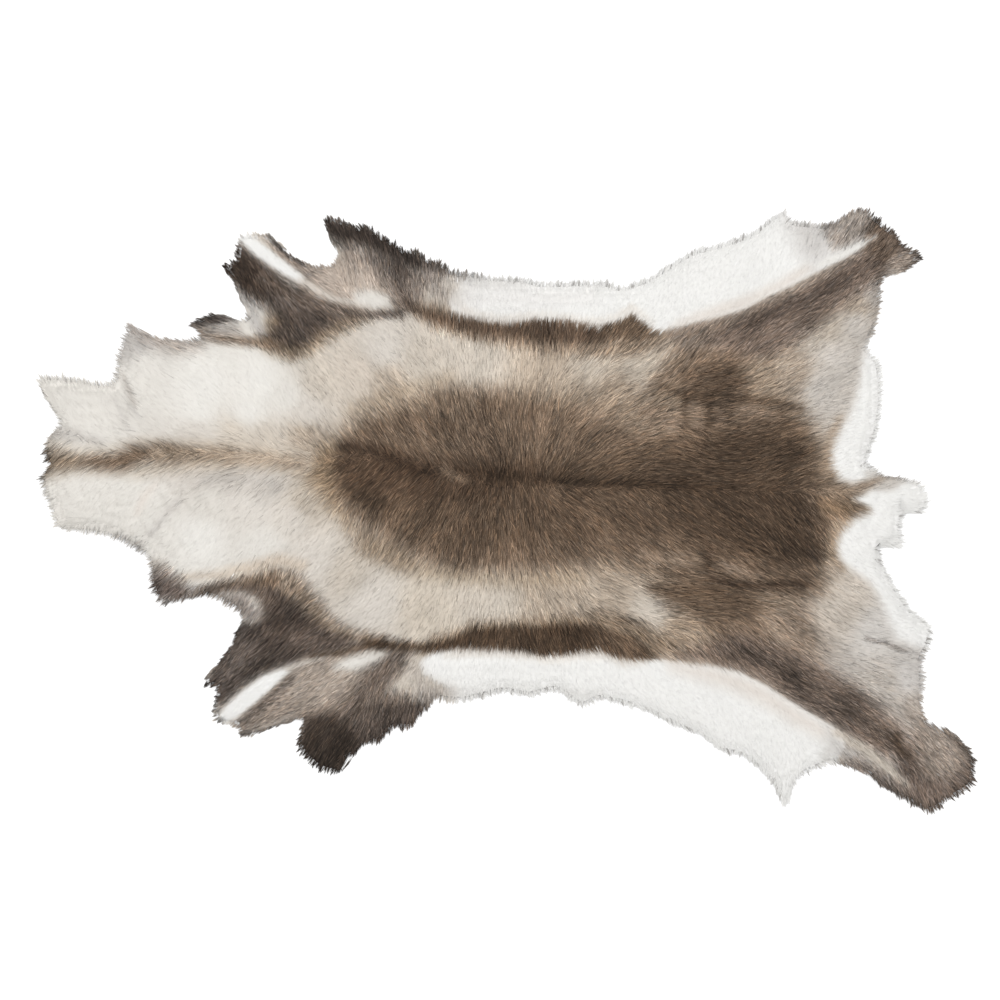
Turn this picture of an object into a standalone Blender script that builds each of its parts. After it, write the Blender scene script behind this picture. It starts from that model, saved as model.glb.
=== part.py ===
"""A reindeer hide laid out flat with its hair up, as one closed solid.

The neck is at -X, the tail at +X, the left-hand legs at -Y and the right-hand legs at +Y.
The skin side is the flat underside at z = 0. The upper side is the lie of the outer hair:
deep on the shoulders and back, thin on the legs, rolled off at the edge and dented where
the hair parts. The outline is one loop of landmarks walked clockwise from the neck cut.
All sizes are metres.
"""
import math

import bmesh
import bpy
import numpy as np
from mathutils import Vector, geometry

# ---------------------------------------------------------------- driving sizes
HIDE_LENGTH = 1.315          # neck cut to tail tip and hock, over the hair
HIDE_WIDTH = 0.846           # upper leg tip to lower leg tip, over the hair
EDGE_THICKNESS = 0.0040      # cut skin with flattened hair at the very edge
EDGE_ROLL = 0.048            # how far in from the edge the coat reaches its full depth
OUTLINE_STEP = 0.0090        # spacing of points along the outline
COAT_STEP = 0.0190           # spacing of points over the coat
SKIN_STEP = 0.0600           # spacing of points over the flat underside
TUFT_SHARPNESS = 0.5         # 0 = round curve through the landmarks, 1 = straight lines

# ---------------------------------------------------------------- outline landmarks
# Each table is one stretch of the edge: columns x, y. Together they make one closed loop.
NECK_UPPER = (
    (-0.658, 0.185), (-0.620, 0.184), (-0.585, 0.177), (-0.550, 0.179), (-0.541, 0.225),
    (-0.531, 0.262), (-0.505, 0.247), (-0.460, 0.236), (-0.430, 0.241), (-0.447, 0.258),
    (-0.415, 0.273), (-0.375, 0.262), (-0.357, 0.277),
)
FORE_LEG_UPPER = (
    (-0.372, 0.295), (-0.385, 0.320), (-0.396, 0.340), (-0.379, 0.350), (-0.373, 0.382),
    (-0.333, 0.383), (-0.310, 0.360), (-0.280, 0.343), (-0.246, 0.340), (-0.234, 0.357),
    (-0.245, 0.382), (-0.254, 0.408),
)
ELBOW_UPPER = (
    (-0.220, 0.401), (-0.213, 0.393), (-0.200, 0.401), (-0.165, 0.378), (-0.143, 0.362),
    (-0.130, 0.364), (-0.110, 0.348), (-0.098, 0.350), (-0.078, 0.333), (-0.055, 0.331),
)
FLANK_UPPER = (
    (-0.020, 0.323), (0.020, 0.322), (0.050, 0.316), (0.090, 0.317), (0.135, 0.318),
    (0.160, 0.310), (0.200, 0.323), (0.225, 0.339), (0.260, 0.360), (0.300, 0.371),
    (0.345, 0.386), (0.370, 0.407), (0.390, 0.418), (0.402, 0.403), (0.447, 0.398),
)
HIND_LEG_UPPER = (
    (0.470, 0.410), (0.500, 0.422), (0.518, 0.408), (0.547, 0.388), (0.560, 0.366),
    (0.580, 0.356), (0.550, 0.335), (0.524, 0.326), (0.523, 0.290), (0.514, 0.252),
    (0.503, 0.226),
)
RUMP_AND_TAIL = (
    (0.520, 0.206), (0.524, 0.160), (0.519, 0.110), (0.507, 0.078), (0.505, 0.064),
    (0.530, 0.047), (0.578, 0.038), (0.590, 0.012), (0.584, -0.003), (0.556, -0.006),
    (0.553, -0.032), (0.555, -0.054), (0.521, -0.052), (0.528, -0.080), (0.548, -0.115),
    (0.575, -0.152), (0.593, -0.166), (0.590, -0.193),
)
HIND_LEG_LOWER = (
    (0.580, -0.208), (0.583, -0.250), (0.581, -0.275), (0.600, -0.301), (0.635, -0.320),
    (0.657, -0.352), (0.652, -0.388), (0.620, -0.407), (0.595, -0.424), (0.560, -0.407),
    (0.520, -0.385), (0.495, -0.367), (0.455, -0.350), (0.420, -0.368), (0.402, -0.385),
    (0.391, -0.417),
)
FLANK_LOWER = (
    (0.375, -0.385), (0.352, -0.360), (0.330, -0.345), (0.302, -0.338), (0.275, -0.317),
    (0.235, -0.301), (0.200, -0.283), (0.165, -0.272), (0.130, -0.265), (0.105, -0.275),
    (0.070, -0.252), (0.030, -0.261), (-0.005, -0.254), (-0.060, -0.267), (-0.103, -0.262),
)
ELBOW_LOWER = (
    (-0.111, -0.280), (-0.128, -0.290), (-0.134, -0.306), (-0.160, -0.306),
    (-0.178, -0.325), (-0.200, -0.328), (-0.216, -0.348), (-0.233, -0.354),
    (-0.235, -0.371), (-0.265, -0.362), (-0.290, -0.336), (-0.288, -0.297),
)
FORE_LEG_LOWER = (
    (-0.310, -0.299), (-0.345, -0.310), (-0.373, -0.318), (-0.380, -0.300),
    (-0.406, -0.294), (-0.408, -0.268), (-0.405, -0.249), (-0.420, -0.240),
    (-0.402, -0.214), (-0.383, -0.180), (-0.369, -0.155), (-0.373, -0.142),
    (-0.400, -0.127),
)
NECK_LOWER = (
    (-0.425, -0.120), (-0.482, -0.132), (-0.499, -0.105), (-0.502, -0.068),
    (-0.525, -0.052), (-0.560, -0.036), (-0.610, -0.026), (-0.632, -0.024),
    (-0.641, 0.010), (-0.654, 0.043), (-0.642, 0.058), (-0.650, 0.080), (-0.626, 0.120),
    (-0.650, 0.162),
)
EDGE_STRETCHES = (
    NECK_UPPER, FORE_LEG_UPPER, ELBOW_UPPER, FLANK_UPPER, HIND_LEG_UPPER, RUMP_AND_TAIL,
    HIND_LEG_LOWER, FLANK_LOWER, ELBOW_LOWER, FORE_LEG_LOWER, NECK_LOWER,
)

# ---------------------------------------------------------------- depth of the coat
# columns: part of the hide, x, y, reach along x, reach along y, depth of the laid hair
COAT_DEPTH = (
    ("neck", -0.580, 0.070, 0.080, 0.120, 0.021),
    ("upper shoulder", -0.420, 0.150, 0.110, 0.090, 0.026),
    ("lower shoulder", -0.400, -0.050, 0.110, 0.080, 0.025),
    ("withers", -0.200, 0.060, 0.130, 0.110, 0.024),
    ("mid back", 0.080, 0.040, 0.180, 0.120, 0.023),
    ("croup", 0.380, 0.030, 0.150, 0.130, 0.024),
    ("upper belly", 0.080, 0.270, 0.220, 0.050, 0.016),
    ("lower belly", 0.080, -0.220, 0.220, 0.050, 0.016),
    ("upper fore leg", -0.330, 0.320, 0.090, 0.060, 0.011),
    ("lower fore leg", -0.340, -0.250, 0.080, 0.070, 0.011),
    ("upper elbow", -0.190, 0.350, 0.080, 0.060, 0.014),
    ("lower elbow", -0.200, -0.290, 0.080, 0.060, 0.014),
    ("upper thigh", 0.430, 0.310, 0.110, 0.080, 0.015),
    ("lower thigh", 0.470, -0.270, 0.120, 0.070, 0.015),
    ("lower hock", 0.620, -0.360, 0.060, 0.060, 0.009),
    ("tail", 0.570, 0.015, 0.040, 0.030, 0.014),
)

# columns: parting or ridge, x1, y1, x2, y2, half width, height added (below 0 = trough)
PARTINGS = (
    ("back parting, front", -0.230, 0.082, -0.100, 0.060, 0.020, -0.0042),
    ("back parting, middle", -0.100, 0.060, 0.080, 0.034, 0.022, -0.0050),
    ("back parting, rear", 0.080, 0.034, 0.400, 0.022, 0.022, -0.0036),
    ("neck parting", -0.640, 0.066, -0.520, 0.076, 0.017, -0.0040),
    ("mane parting", -0.520, 0.076, -0.340, 0.072, 0.020, -0.0034),
    ("neck crease, upper", -0.538, 0.188, -0.521, 0.130, 0.009, -0.0055),
    ("neck crease, second", -0.552, 0.162, -0.531, 0.108, 0.009, -0.0030),
    ("neck crease, lower", -0.508, -0.052, -0.462, 0.002, 0.012, -0.0048),
    ("neck fold, lower", -0.518, -0.006, -0.498, 0.034, 0.012, 0.0032),
    ("collar ridge, upper", -0.500, 0.215, -0.470, 0.110, 0.026, 0.0030),
    ("collar ridge, lower", -0.480, -0.100, -0.440, -0.010, 0.026, 0.0028),
    ("shoulder step, upper", -0.500, 0.236, -0.300, 0.240, 0.012, -0.0028),
    ("shoulder step, lower", -0.480, -0.112, -0.330, -0.102, 0.012, -0.0028),
    ("fore leg ridge, upper", -0.365, 0.372, -0.250, 0.302, 0.014, 0.0030),
    ("fore leg ridge, lower", -0.390, -0.288, -0.270, -0.210, 0.014, 0.0030),
    ("armpit, upper", -0.150, 0.330, -0.120, 0.280, 0.016, -0.0034),
    ("armpit, lower", -0.165, -0.245, -0.140, -0.200, 0.016, -0.0034),
    ("flank step, upper", -0.110, 0.280, 0.060, 0.256, 0.013, -0.0034),
    ("flank step, upper rear", 0.060, 0.256, 0.240, 0.252, 0.013, -0.0030),
    ("flank step, lower", -0.180, -0.184, 0.080, -0.182, 0.013, -0.0034),
    ("flank step, lower rear", 0.080, -0.182, 0.250, -0.194, 0.013, -0.0030),
    ("thigh ridge, upper", 0.260, 0.250, 0.500, 0.350, 0.028, 0.0026),
    ("thigh ridge, lower", 0.260, -0.192, 0.600, -0.350, 0.028, 0.0026),
    ("rump crease, upper", 0.440, 0.150, 0.520, 0.175, 0.014, -0.0026),
    ("rump crease, lower", 0.505, -0.165, 0.575, -0.202, 0.012, -0.0034),
    ("tail root", 0.490, 0.060, 0.500, -0.045, 0.014, -0.0036),
)

# columns: swelling or hollow, x, y, radius, height added
SWELLINGS = (
    ("rump whorl, upper", 0.300, 0.120, 0.040, 0.0030),
    ("rump whorl, upper rear", 0.372, 0.128, 0.034, 0.0026),
    ("rump whorl, lower", 0.250, -0.088, 0.038, 0.0026),
    ("rump whorl, lower rear", 0.342, -0.086, 0.034, 0.0026),
    ("hollow behind the withers", -0.090, 0.040, 0.050, -0.0024),
    ("saddle, upper", -0.060, 0.140, 0.060, 0.0022),
    ("saddle, lower", -0.030, -0.040, 0.060, 0.0022),
    ("hollow of the loin", 0.170, 0.090, 0.050, -0.0022),
    ("neck swelling", -0.590, 0.120, 0.045, 0.0024),
    ("throat swelling", -0.570, 0.020, 0.040, 0.0022),
    ("belly swelling, upper", 0.120, 0.285, 0.035, 0.0016),
    ("belly swelling, lower", 0.060, -0.225, 0.035, 0.0016),
    ("croup hollow", 0.450, 0.090, 0.040, -0.0022),
)

COAT_COLOUR = (0.32, 0.26, 0.20, 1.0)
COAT_ROUGHNESS = 0.9


def landmark_loop():
    """All stretches joined and scaled so the hide measures its length and width exactly."""
    loop = np.array([point for stretch in EDGE_STRETCHES for point in stretch])
    low = loop.min(axis=0)
    high = loop.max(axis=0)
    scale = np.array([HIDE_LENGTH, HIDE_WIDTH]) / (high - low)
    middle = (low + high) / 2.0
    return loop, scale, middle


def smooth_loop(loop):
    """A closed cardinal curve through the landmarks, cut into even steps."""
    pull = (1.0 - TUFT_SHARPNESS) / 2.0
    before = np.roll(loop, 1, axis=0)
    after = np.roll(loop, -1, axis=0)
    beyond = np.roll(loop, -2, axis=0)
    points = []
    for p0, p1, p2, p3 in zip(before, loop, after, beyond):
        span = float(np.linalg.norm(p2 - p1))
        start = (p2 - p0) * pull
        stop = (p3 - p1) * pull
        limit = span * 0.9
        start = start * min(1.0, limit / max(1e-9, float(np.linalg.norm(start))))
        stop = stop * min(1.0, limit / max(1e-9, float(np.linalg.norm(stop))))
        count = max(1, int(round(span / OUTLINE_STEP)))
        for k in range(count):
            t = k / count
            h00 = 2 * t ** 3 - 3 * t ** 2 + 1
            h10 = t ** 3 - 2 * t ** 2 + t
            h01 = -2 * t ** 3 + 3 * t ** 2
            h11 = t ** 3 - t ** 2
            points.append(h00 * p1 + h10 * start + h01 * p2 + h11 * stop)
    return np.array(points)


def distance_to_segment(xy, x1, y1, x2, y2):
    """Distance from every point to one straight run."""
    a = np.array([x1, y1])
    d = np.array([x2 - x1, y2 - y1])
    t = np.clip(((xy - a) @ d) / max(1e-12, float(d @ d)), 0.0, 1.0)
    foot = a + t[:, None] * d
    return np.hypot(*(xy - foot).T)


def distance_to_edge(xy, loop):
    """Distance from every point to the nearest stretch of the outline."""
    best = np.full(len(xy), 1e9)
    for p, q in zip(loop, np.roll(loop, -1, axis=0)):
        best = np.minimum(best, distance_to_segment(xy, p[0], p[1], q[0], q[1]))
    return best


def inside_loop(xy, loop):
    """True for points within the outline, by counting crossings."""
    inside = np.zeros(len(xy), dtype=bool)
    x, y = xy.T
    for p, q in zip(loop, np.roll(loop, -1, axis=0)):
        crosses = (p[1] > y) != (q[1] > y)
        rise = q[1] - p[1]
        at = p[0] + (y - p[1]) * (q[0] - p[0]) / (rise if abs(rise) > 1e-12 else 1e-12)
        inside ^= crosses & (x < at)
    return inside


def coat_height(xy, from_edge):
    """Full depth blended from the body parts, dented by partings and rolled off at the edge."""
    weight = np.zeros(len(xy))
    depth = np.zeros(len(xy))
    for _, x, y, reach_x, reach_y, full in COAT_DEPTH:
        w = np.exp(-((xy[:, 0] - x) / reach_x) ** 2 - ((xy[:, 1] - y) / reach_y) ** 2) + 1e-5
        weight += w
        depth += w * full
    depth = depth / weight
    for _, x1, y1, x2, y2, half_width, added in PARTINGS:
        away = distance_to_segment(xy, x1, y1, x2, y2) / half_width
        depth = depth + added * np.exp(-away ** 2)
    for _, x, y, radius, added in SWELLINGS:
        away = np.hypot(xy[:, 0] - x, xy[:, 1] - y) / radius
        depth = depth + added * np.exp(-away ** 2)
    inward = np.clip(from_edge / EDGE_ROLL, 0.0, 1.0)
    roll = np.sqrt(1.0 - (1.0 - inward) ** 2)
    return EDGE_THICKNESS + (depth - EDGE_THICKNESS) * roll


def inner_points(loop, step, clear):
    """Points of a staggered grid that lie within the outline and clear of it."""
    low = loop.min(axis=0)
    high = loop.max(axis=0)
    rows = []
    row_step = step * math.sqrt(3.0) / 2.0
    for j in range(int((high[1] - low[1]) / row_step) + 1):
        y = low[1] + j * row_step
        shift = step / 2.0 if j % 2 else 0.0
        x = np.arange(low[0] + shift, high[0], step)
        rows.append(np.column_stack([x, np.full(len(x), y)]))
    grid = np.vstack(rows)
    grid = grid[inside_loop(grid, loop)]
    away = distance_to_edge(grid, loop)
    return grid[away > clear], away[away > clear]


def ring_inside(loop, inset, clear):
    """A row of points just inside the outline, so that the rolled edge stays round."""
    ahead = np.roll(loop, -1, axis=0) - np.roll(loop, 1, axis=0)
    ahead = ahead / np.maximum(1e-9, np.hypot(*ahead.T))[:, None]
    inward = np.column_stack([ahead[:, 1], -ahead[:, 0]])
    ring = (loop + inward * inset)[::2]
    ring = ring[inside_loop(ring, loop)]
    away = distance_to_edge(ring, loop)
    return ring[away > clear], away[away > clear]


def fill(loop, extra):
    """Triangles that join the outline and the points within it."""
    everything = np.vstack([loop, extra])
    count = len(loop)
    edges = [(i, (i + 1) % count) for i in range(count)]
    points = [Vector((float(x), float(y))) for x, y in everything]
    verts, _, faces, _, _, _ = geometry.delaunay_2d_cdt(points, edges, [], 1, 1e-6)
    assert len(verts) == len(everything), "the outline crosses itself"
    return faces


def thin_out(points, away, spacing):
    """Drop points that crowd one kept before them."""
    kept = []
    for k, point in enumerate(points):
        near = any(abs(point[0] - points[m][0]) < spacing
                   and math.dist(point, points[m]) < spacing for m in kept)
        if not near:
            kept.append(k)
    return points[kept], away[kept]


def build_hide():
    """The closed solid: coat surface, thin edge wall and flat skin side."""
    landmarks, scale, middle = landmark_loop()
    loop = smooth_loop(landmarks)
    ring, ring_away = ring_inside(loop, 0.012, 0.008)
    second, second_away = ring_inside(loop, 0.026, 0.022)
    grid, grid_away = inner_points(loop, COAT_STEP, 0.036)
    coat = np.vstack([ring, second, grid])
    coat_away = np.concatenate([ring_away, second_away, grid_away])
    coat, coat_away = thin_out(coat, coat_away, 0.0085)
    skin, _ = inner_points(loop, SKIN_STEP, SKIN_STEP * 0.45)
    coat_z = coat_height(coat, coat_away)
    count = len(loop)
    top_faces = fill(loop, coat)
    under_faces = fill(loop, skin)

    def place(xy):
        return (xy - middle) * scale

    bm = bmesh.new()
    rim_top = [bm.verts.new((*p, EDGE_THICKNESS)) for p in place(loop)]
    rim_low = [bm.verts.new((*p, 0.0)) for p in place(loop)]
    coat_verts = [bm.verts.new((*p, z)) for p, z in zip(place(coat), coat_z)]
    skin_verts = [bm.verts.new((*p, 0.0)) for p in place(skin)]
    top = rim_top + coat_verts
    under = rim_low + skin_verts
    for face in top_faces:
        bm.faces.new([top[i] for i in face])
    for face in under_faces:
        bm.faces.new([under[i] for i in reversed(face)])
    for i in range(count):
        j = (i + 1) % count
        bm.faces.new([rim_low[i], rim_low[j], rim_top[j]])
        bm.faces.new([rim_low[i], rim_top[j], rim_top[i]])
    bmesh.ops.recalc_face_normals(bm, faces=bm.faces)
    low = min(v.co.x for v in bm.verts)
    high = max(v.co.x for v in bm.verts)
    near = min(v.co.y for v in bm.verts)
    far = max(v.co.y for v in bm.verts)
    for v in bm.verts:
        v.co.x -= (low + high) / 2.0
        v.co.y -= (near + far) / 2.0
    mesh = bpy.data.meshes.new("hide")
    bm.to_mesh(mesh)
    bm.free()
    return mesh


def coat_material():
    """One plain material for the whole hide."""
    material = bpy.data.materials.new("reindeer_coat")
    material.use_nodes = True
    shader = material.node_tree.nodes["Principled BSDF"]
    shader.inputs["Base Color"].default_value = COAT_COLOUR
    shader.inputs["Roughness"].default_value = COAT_ROUGHNESS
    return material


def main():
    for old in list(bpy.data.objects):
        bpy.data.objects.remove(old, do_unlink=True)
    mesh = build_hide()
    mesh.materials.append(coat_material())
    hide = bpy.data.objects.new("hide", mesh)
    bpy.context.scene.collection.objects.link(hide)


main()
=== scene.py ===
"""Reindeer hide with its hair on, laid flat: skin sheet, underwool and combed outer hair."""
import math

import bpy
import numpy as np
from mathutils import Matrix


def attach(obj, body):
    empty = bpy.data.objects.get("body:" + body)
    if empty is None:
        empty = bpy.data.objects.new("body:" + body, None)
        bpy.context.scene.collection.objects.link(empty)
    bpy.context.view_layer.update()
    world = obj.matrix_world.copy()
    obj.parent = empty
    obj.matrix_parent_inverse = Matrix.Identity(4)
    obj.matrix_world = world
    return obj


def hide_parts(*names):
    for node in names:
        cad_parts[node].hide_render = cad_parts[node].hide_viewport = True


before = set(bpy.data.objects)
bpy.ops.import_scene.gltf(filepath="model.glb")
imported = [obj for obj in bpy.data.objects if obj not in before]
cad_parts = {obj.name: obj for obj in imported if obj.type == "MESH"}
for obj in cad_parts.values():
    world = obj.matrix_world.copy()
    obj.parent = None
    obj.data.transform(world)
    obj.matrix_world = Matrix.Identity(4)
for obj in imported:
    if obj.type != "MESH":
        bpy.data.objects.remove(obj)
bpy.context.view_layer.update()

# ---------------------------------------------------------------- sizes, metres
FIELD_STEP = 0.0025          # spacing of the height, lie and colour fields
FIELD_MARGIN = 0.030         # how far the fields run past the hide
SKIN_THICKNESS = 0.0020      # tanned skin
SKIN_INSET = 0.0100          # the cut skin ends this far inside the outline
SKIN_GRID = 0.0085           # spacing of its points
WOOL_INSET = 0.0045          # the underwool ends this far inside the outline
WOOL_GRID = 0.0065           # spacing of its points
WOOL_FLOOR = 0.0010          # height of its flat underside
WOOL_LEAST = 0.0022          # lowest height of its upper side
WOOL_DROP_LIGHT = 0.0009     # the underwool lies this far below the top of light hair
WOOL_DROP_DARK = 0.0034      # and this far below the top of dark hair
GRID_CLEAR = 0.01            # the grids start this far inside the fields
LOCK_SPACING = 0.0035        # from one lock of hair to the next
EDGE_LOCK_SPACING = 0.0024   # from one pointed lock round the edge to the next
HAIR_WIDTH = 0.00085         # width of a hair at its middle
EDGE_RAGGED = 0.0060         # depth of the ragged end of the coat
EDGE_PROBE = 0.004           # the outward direction is read over this distance
EDGE_COLOUR_INSET = 0.008    # edge locks are light or dark as the coat is this far inside
EDGE_TIP_LIGHT = 0.0062      # how far the reach of light hair past the outline varies
EDGE_TIP_DARK = 0.0080       # and of dark hair
EDGE_LEAST_LIGHT = 0.0040    # least reach of light hair past the outline
EDGE_LEAST_LESS = 0.0015     # dark hair's least reach is this much less
PARTING_BLEND = 0.014        # width over which the two sides of the parting blend
NOISE_WALK = 0.0025          # step of a walk along the hair
LIE_REACH = 0.030            # reach of a place's lie of the hair
MEASURE_REACH = 0.050        # reach of a place's length and lift
GROUND_REACH = 0.035         # reach of a place's ground colour
FLAT = 1e-5                  # points lower than this lie on the solid's underside
TINY = 1e-12                 # below this a length or area counts as nought

# ---------------------------------------------------------------- one hair
MIDDLE_BACK = 0.42           # share of the hair from its tip to its middle
ROOT_BACK = 0.58             # and from its middle to its root
MIDDLE_ACROSS = 0.45         # share of the sideways spread reached at the middle
ROOT_ACROSS = 0.55           # and the rest of it at the root
ROOT_LIE = 0.6               # how far the root half follows the coat, not its own lock
LOCK_LENGTHS = (0.8, 1.2)    # length varies this much from lock to lock
SINGLE_LENGTHS = (0.85, 1.1) # and from hair to hair
HAIR_WIDTHS = (0.75, 1.25)   # width varies this much
FINE_HAIR_WIDTH = 0.8        # pale and dark single hairs are this share of the width
PALE_HAIRS = 0.12            # share of pale single hairs in the darkest coat
DEEP_HAIRS = 0.12            # share of dark single hairs, in all but white coat
LOOSE_LEAST = 0.04           # light coat is this loose, the darkest coat 1
LOCK_RISE = 0.0003           # spread of height from lock to lock, metres
HAIR_RISE = 0.00025          # and from hair to hair
SINGLE_RISE = 0.0004         # pale and dark single hairs lie this much higher
TIP_SUNK = 0.0004            # tips lie this far below the top of the coat
MIDDLE_SUNK = 0.0006         # middles lie this far below it
MIDDLE_SUNK_DARK = 0.0004    # and this much further in the darkest coat
MIDDLE_RISE = 1.1            # middles rise by this share of the tip's rise
TIP_COAT = 0.0024            # the coat counts as at least this high at a tip
INNER_COAT = 0.0030          # and at a middle or a root
TIP_LEAST = 0.0006           # lowest tip, middle, side and root of a hair
MIDDLE_LEAST = 0.0008
SIDE_LEAST = 0.0005
ROOT_LEAST = 0.0010
ROOT_UNDER = 0.0002          # a root stays this far below its middle
ROLL_SPREAD = 0.16           # turn of a hair about its own length, radians
COLOUR_BACK = 0.20           # the root half takes its colour this share further back
COLOUR_SHAKE = 0.08          # a lock's colour is read this share of its length away
COAT_TURN = 7.0              # spread of direction from lock to lock, degrees
EDGE_TURN = 10.0             # and round the edge

# A lock's hairs, their length as a share of the coat's, how far tips may fall behind the first
# as a share of that length, the spread of tips and of roots in metres, how far back from the
# tip the colour is read, the share of light locks greyed at the tips, partly grey tips and partly
# painted shade at the rim, and the darkening of dark coat, which is painted shade at the rim
COAT_STYLE = {"hairs": 7, "length": 1.0, "behind": 0.32, "tip_spread": 0.0010,
              "root_spread": 0.0020, "colour_from": 0.10, "grey_tip_and_shade": 0.0, "darken": 0.0}
EDGE_STYLE = {"hairs": 7, "length": 0.75, "behind": 0.30, "tip_spread": 0.0006,
              "root_spread": 0.0022, "colour_from": 0.35, "grey_tip_and_shade": 0.16, "darken": 0.12}

# Tone of the coat: spread in light coat, and what the darkest coat adds to it
LOCK_TONE = (0.003, 0.045)
HAIR_TONE = (0.003, 0.070)
STREAK_TONE = (0.004, 0.048)
BLOTCH_TONE = (0.003, 0.066)
PALE_LIFT = (0.16, 0.75)     # a pale hair is lighter by this, times how dark the coat is
DEEP_DROP = (0.08, 0.28)     # how much darker a dark hair is
WARM_SPREAD = 0.012          # red against blue, from lock to lock
GREY_TIP_AND_SHADE_SHARE = (0.15, 0.75)     # how far a lock with grey tips and painted rim shade goes to grey
ROOT_SHADE = (0.97, 0.25)    # painted shade deep in the coat: share of the colour at a light root, and what dark coat takes off
MIDDLE_SHADE = 0.04          # painted shade deep in the coat: what dark coat takes off at the middle
TIP_GLEAM = 0.22             # most that dark coat adds at a tip

# ---------------------------------------------------------------- stretches of the outer hair
# columns: piece, from and to along the back
STRETCHES = (
    ("fur_neck", -9.0, -0.330), ("fur_shoulder", -0.330, -0.110),
    ("fur_barrel", -0.110, 0.130), ("fur_loin", 0.130, 0.362), ("fur_rump", 0.362, 9.0),
)
BAKE_LAYER = "OFBake"        # name of the flat map laid on each stretch of hair

# ---------------------------------------------------------------- studio
CAMERA_CENTRE = (-0.0091, 0.0140)
CAMERA_WIDTH = 1.400         # width of floor in view
CAMERA_LENS = 85.0           # millimetres
CAMERA_ABOVE = 0.012         # the view is as wide as named at this height, inside the coat
FLOOR_SIZE = 9.0
FLOOR_DROP = 0.0002          # the floor lies just under the hide
# columns: lamp, place, width, power in watts
LAMPS = (("lamp_left", (-1.5, 1.2, 3.4), 1.8, 62.0), ("lamp_right", (1.6, 0.8, 3.6), 1.8, 40.0))

# ---------------------------------------------------------------- colours, sRGB 0 to 255
COAT_SHARE = 0.81            # light given back by the coat, as a share of the colours named
LIGHT_COAT_SHARE = 0.958     # and light coat gives back this much of that
WHITE = (239, 238, 235)
IVORY = (233, 230, 224)
CHALK = (226, 222, 215)
OYSTER = (216, 209, 200)
PEARL = (204, 197, 189)
OAT = (208, 198, 185)
SAND = (198, 186, 171)
BUFF = (187, 172, 155)
TAN = (172, 155, 137)
FAWN = (156, 139, 121)
MOUSE = (141, 124, 107)
HAZEL = (125, 107, 91)
BARK = (111, 94, 79)
PEAT = (98, 82, 68)
SEPIA = (75, 61, 49)
AMBER = (166, 145, 119)
SOOT = (50, 43, 38)
BLUSH = (225, 216, 207)
SILVER = (196, 191, 186)
SMOKE = (165, 156, 148)
SLATE = (108, 98, 91)
THIGH = (112, 98, 88)
CHARCOAL = (78, 69, 63)
# grey of the hair tips round the edge, partly their own grey and partly painted shade at the rim
RIM_GREY_AND_SHADE = (148, 144, 140)

# ---------------------------------------------------------------- the parting
# columns: x, y, from the neck cut along the back to the tail
PARTING = (
    (-0.70, 0.108), (-0.62, 0.100), (-0.58, 0.080), (-0.54, 0.072), (-0.50, 0.082),
    (-0.45, 0.078), (-0.40, 0.078), (-0.35, 0.074), (-0.30, 0.066), (-0.25, 0.072),
    (-0.20, 0.078), (-0.15, 0.068), (-0.12, 0.060), (-0.08, 0.046), (0.00, 0.045),
    (0.05, 0.040), (0.10, 0.032), (0.20, 0.027), (0.30, 0.024), (0.40, 0.022),
    (0.50, 0.025), (0.70, 0.018),
)

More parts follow.
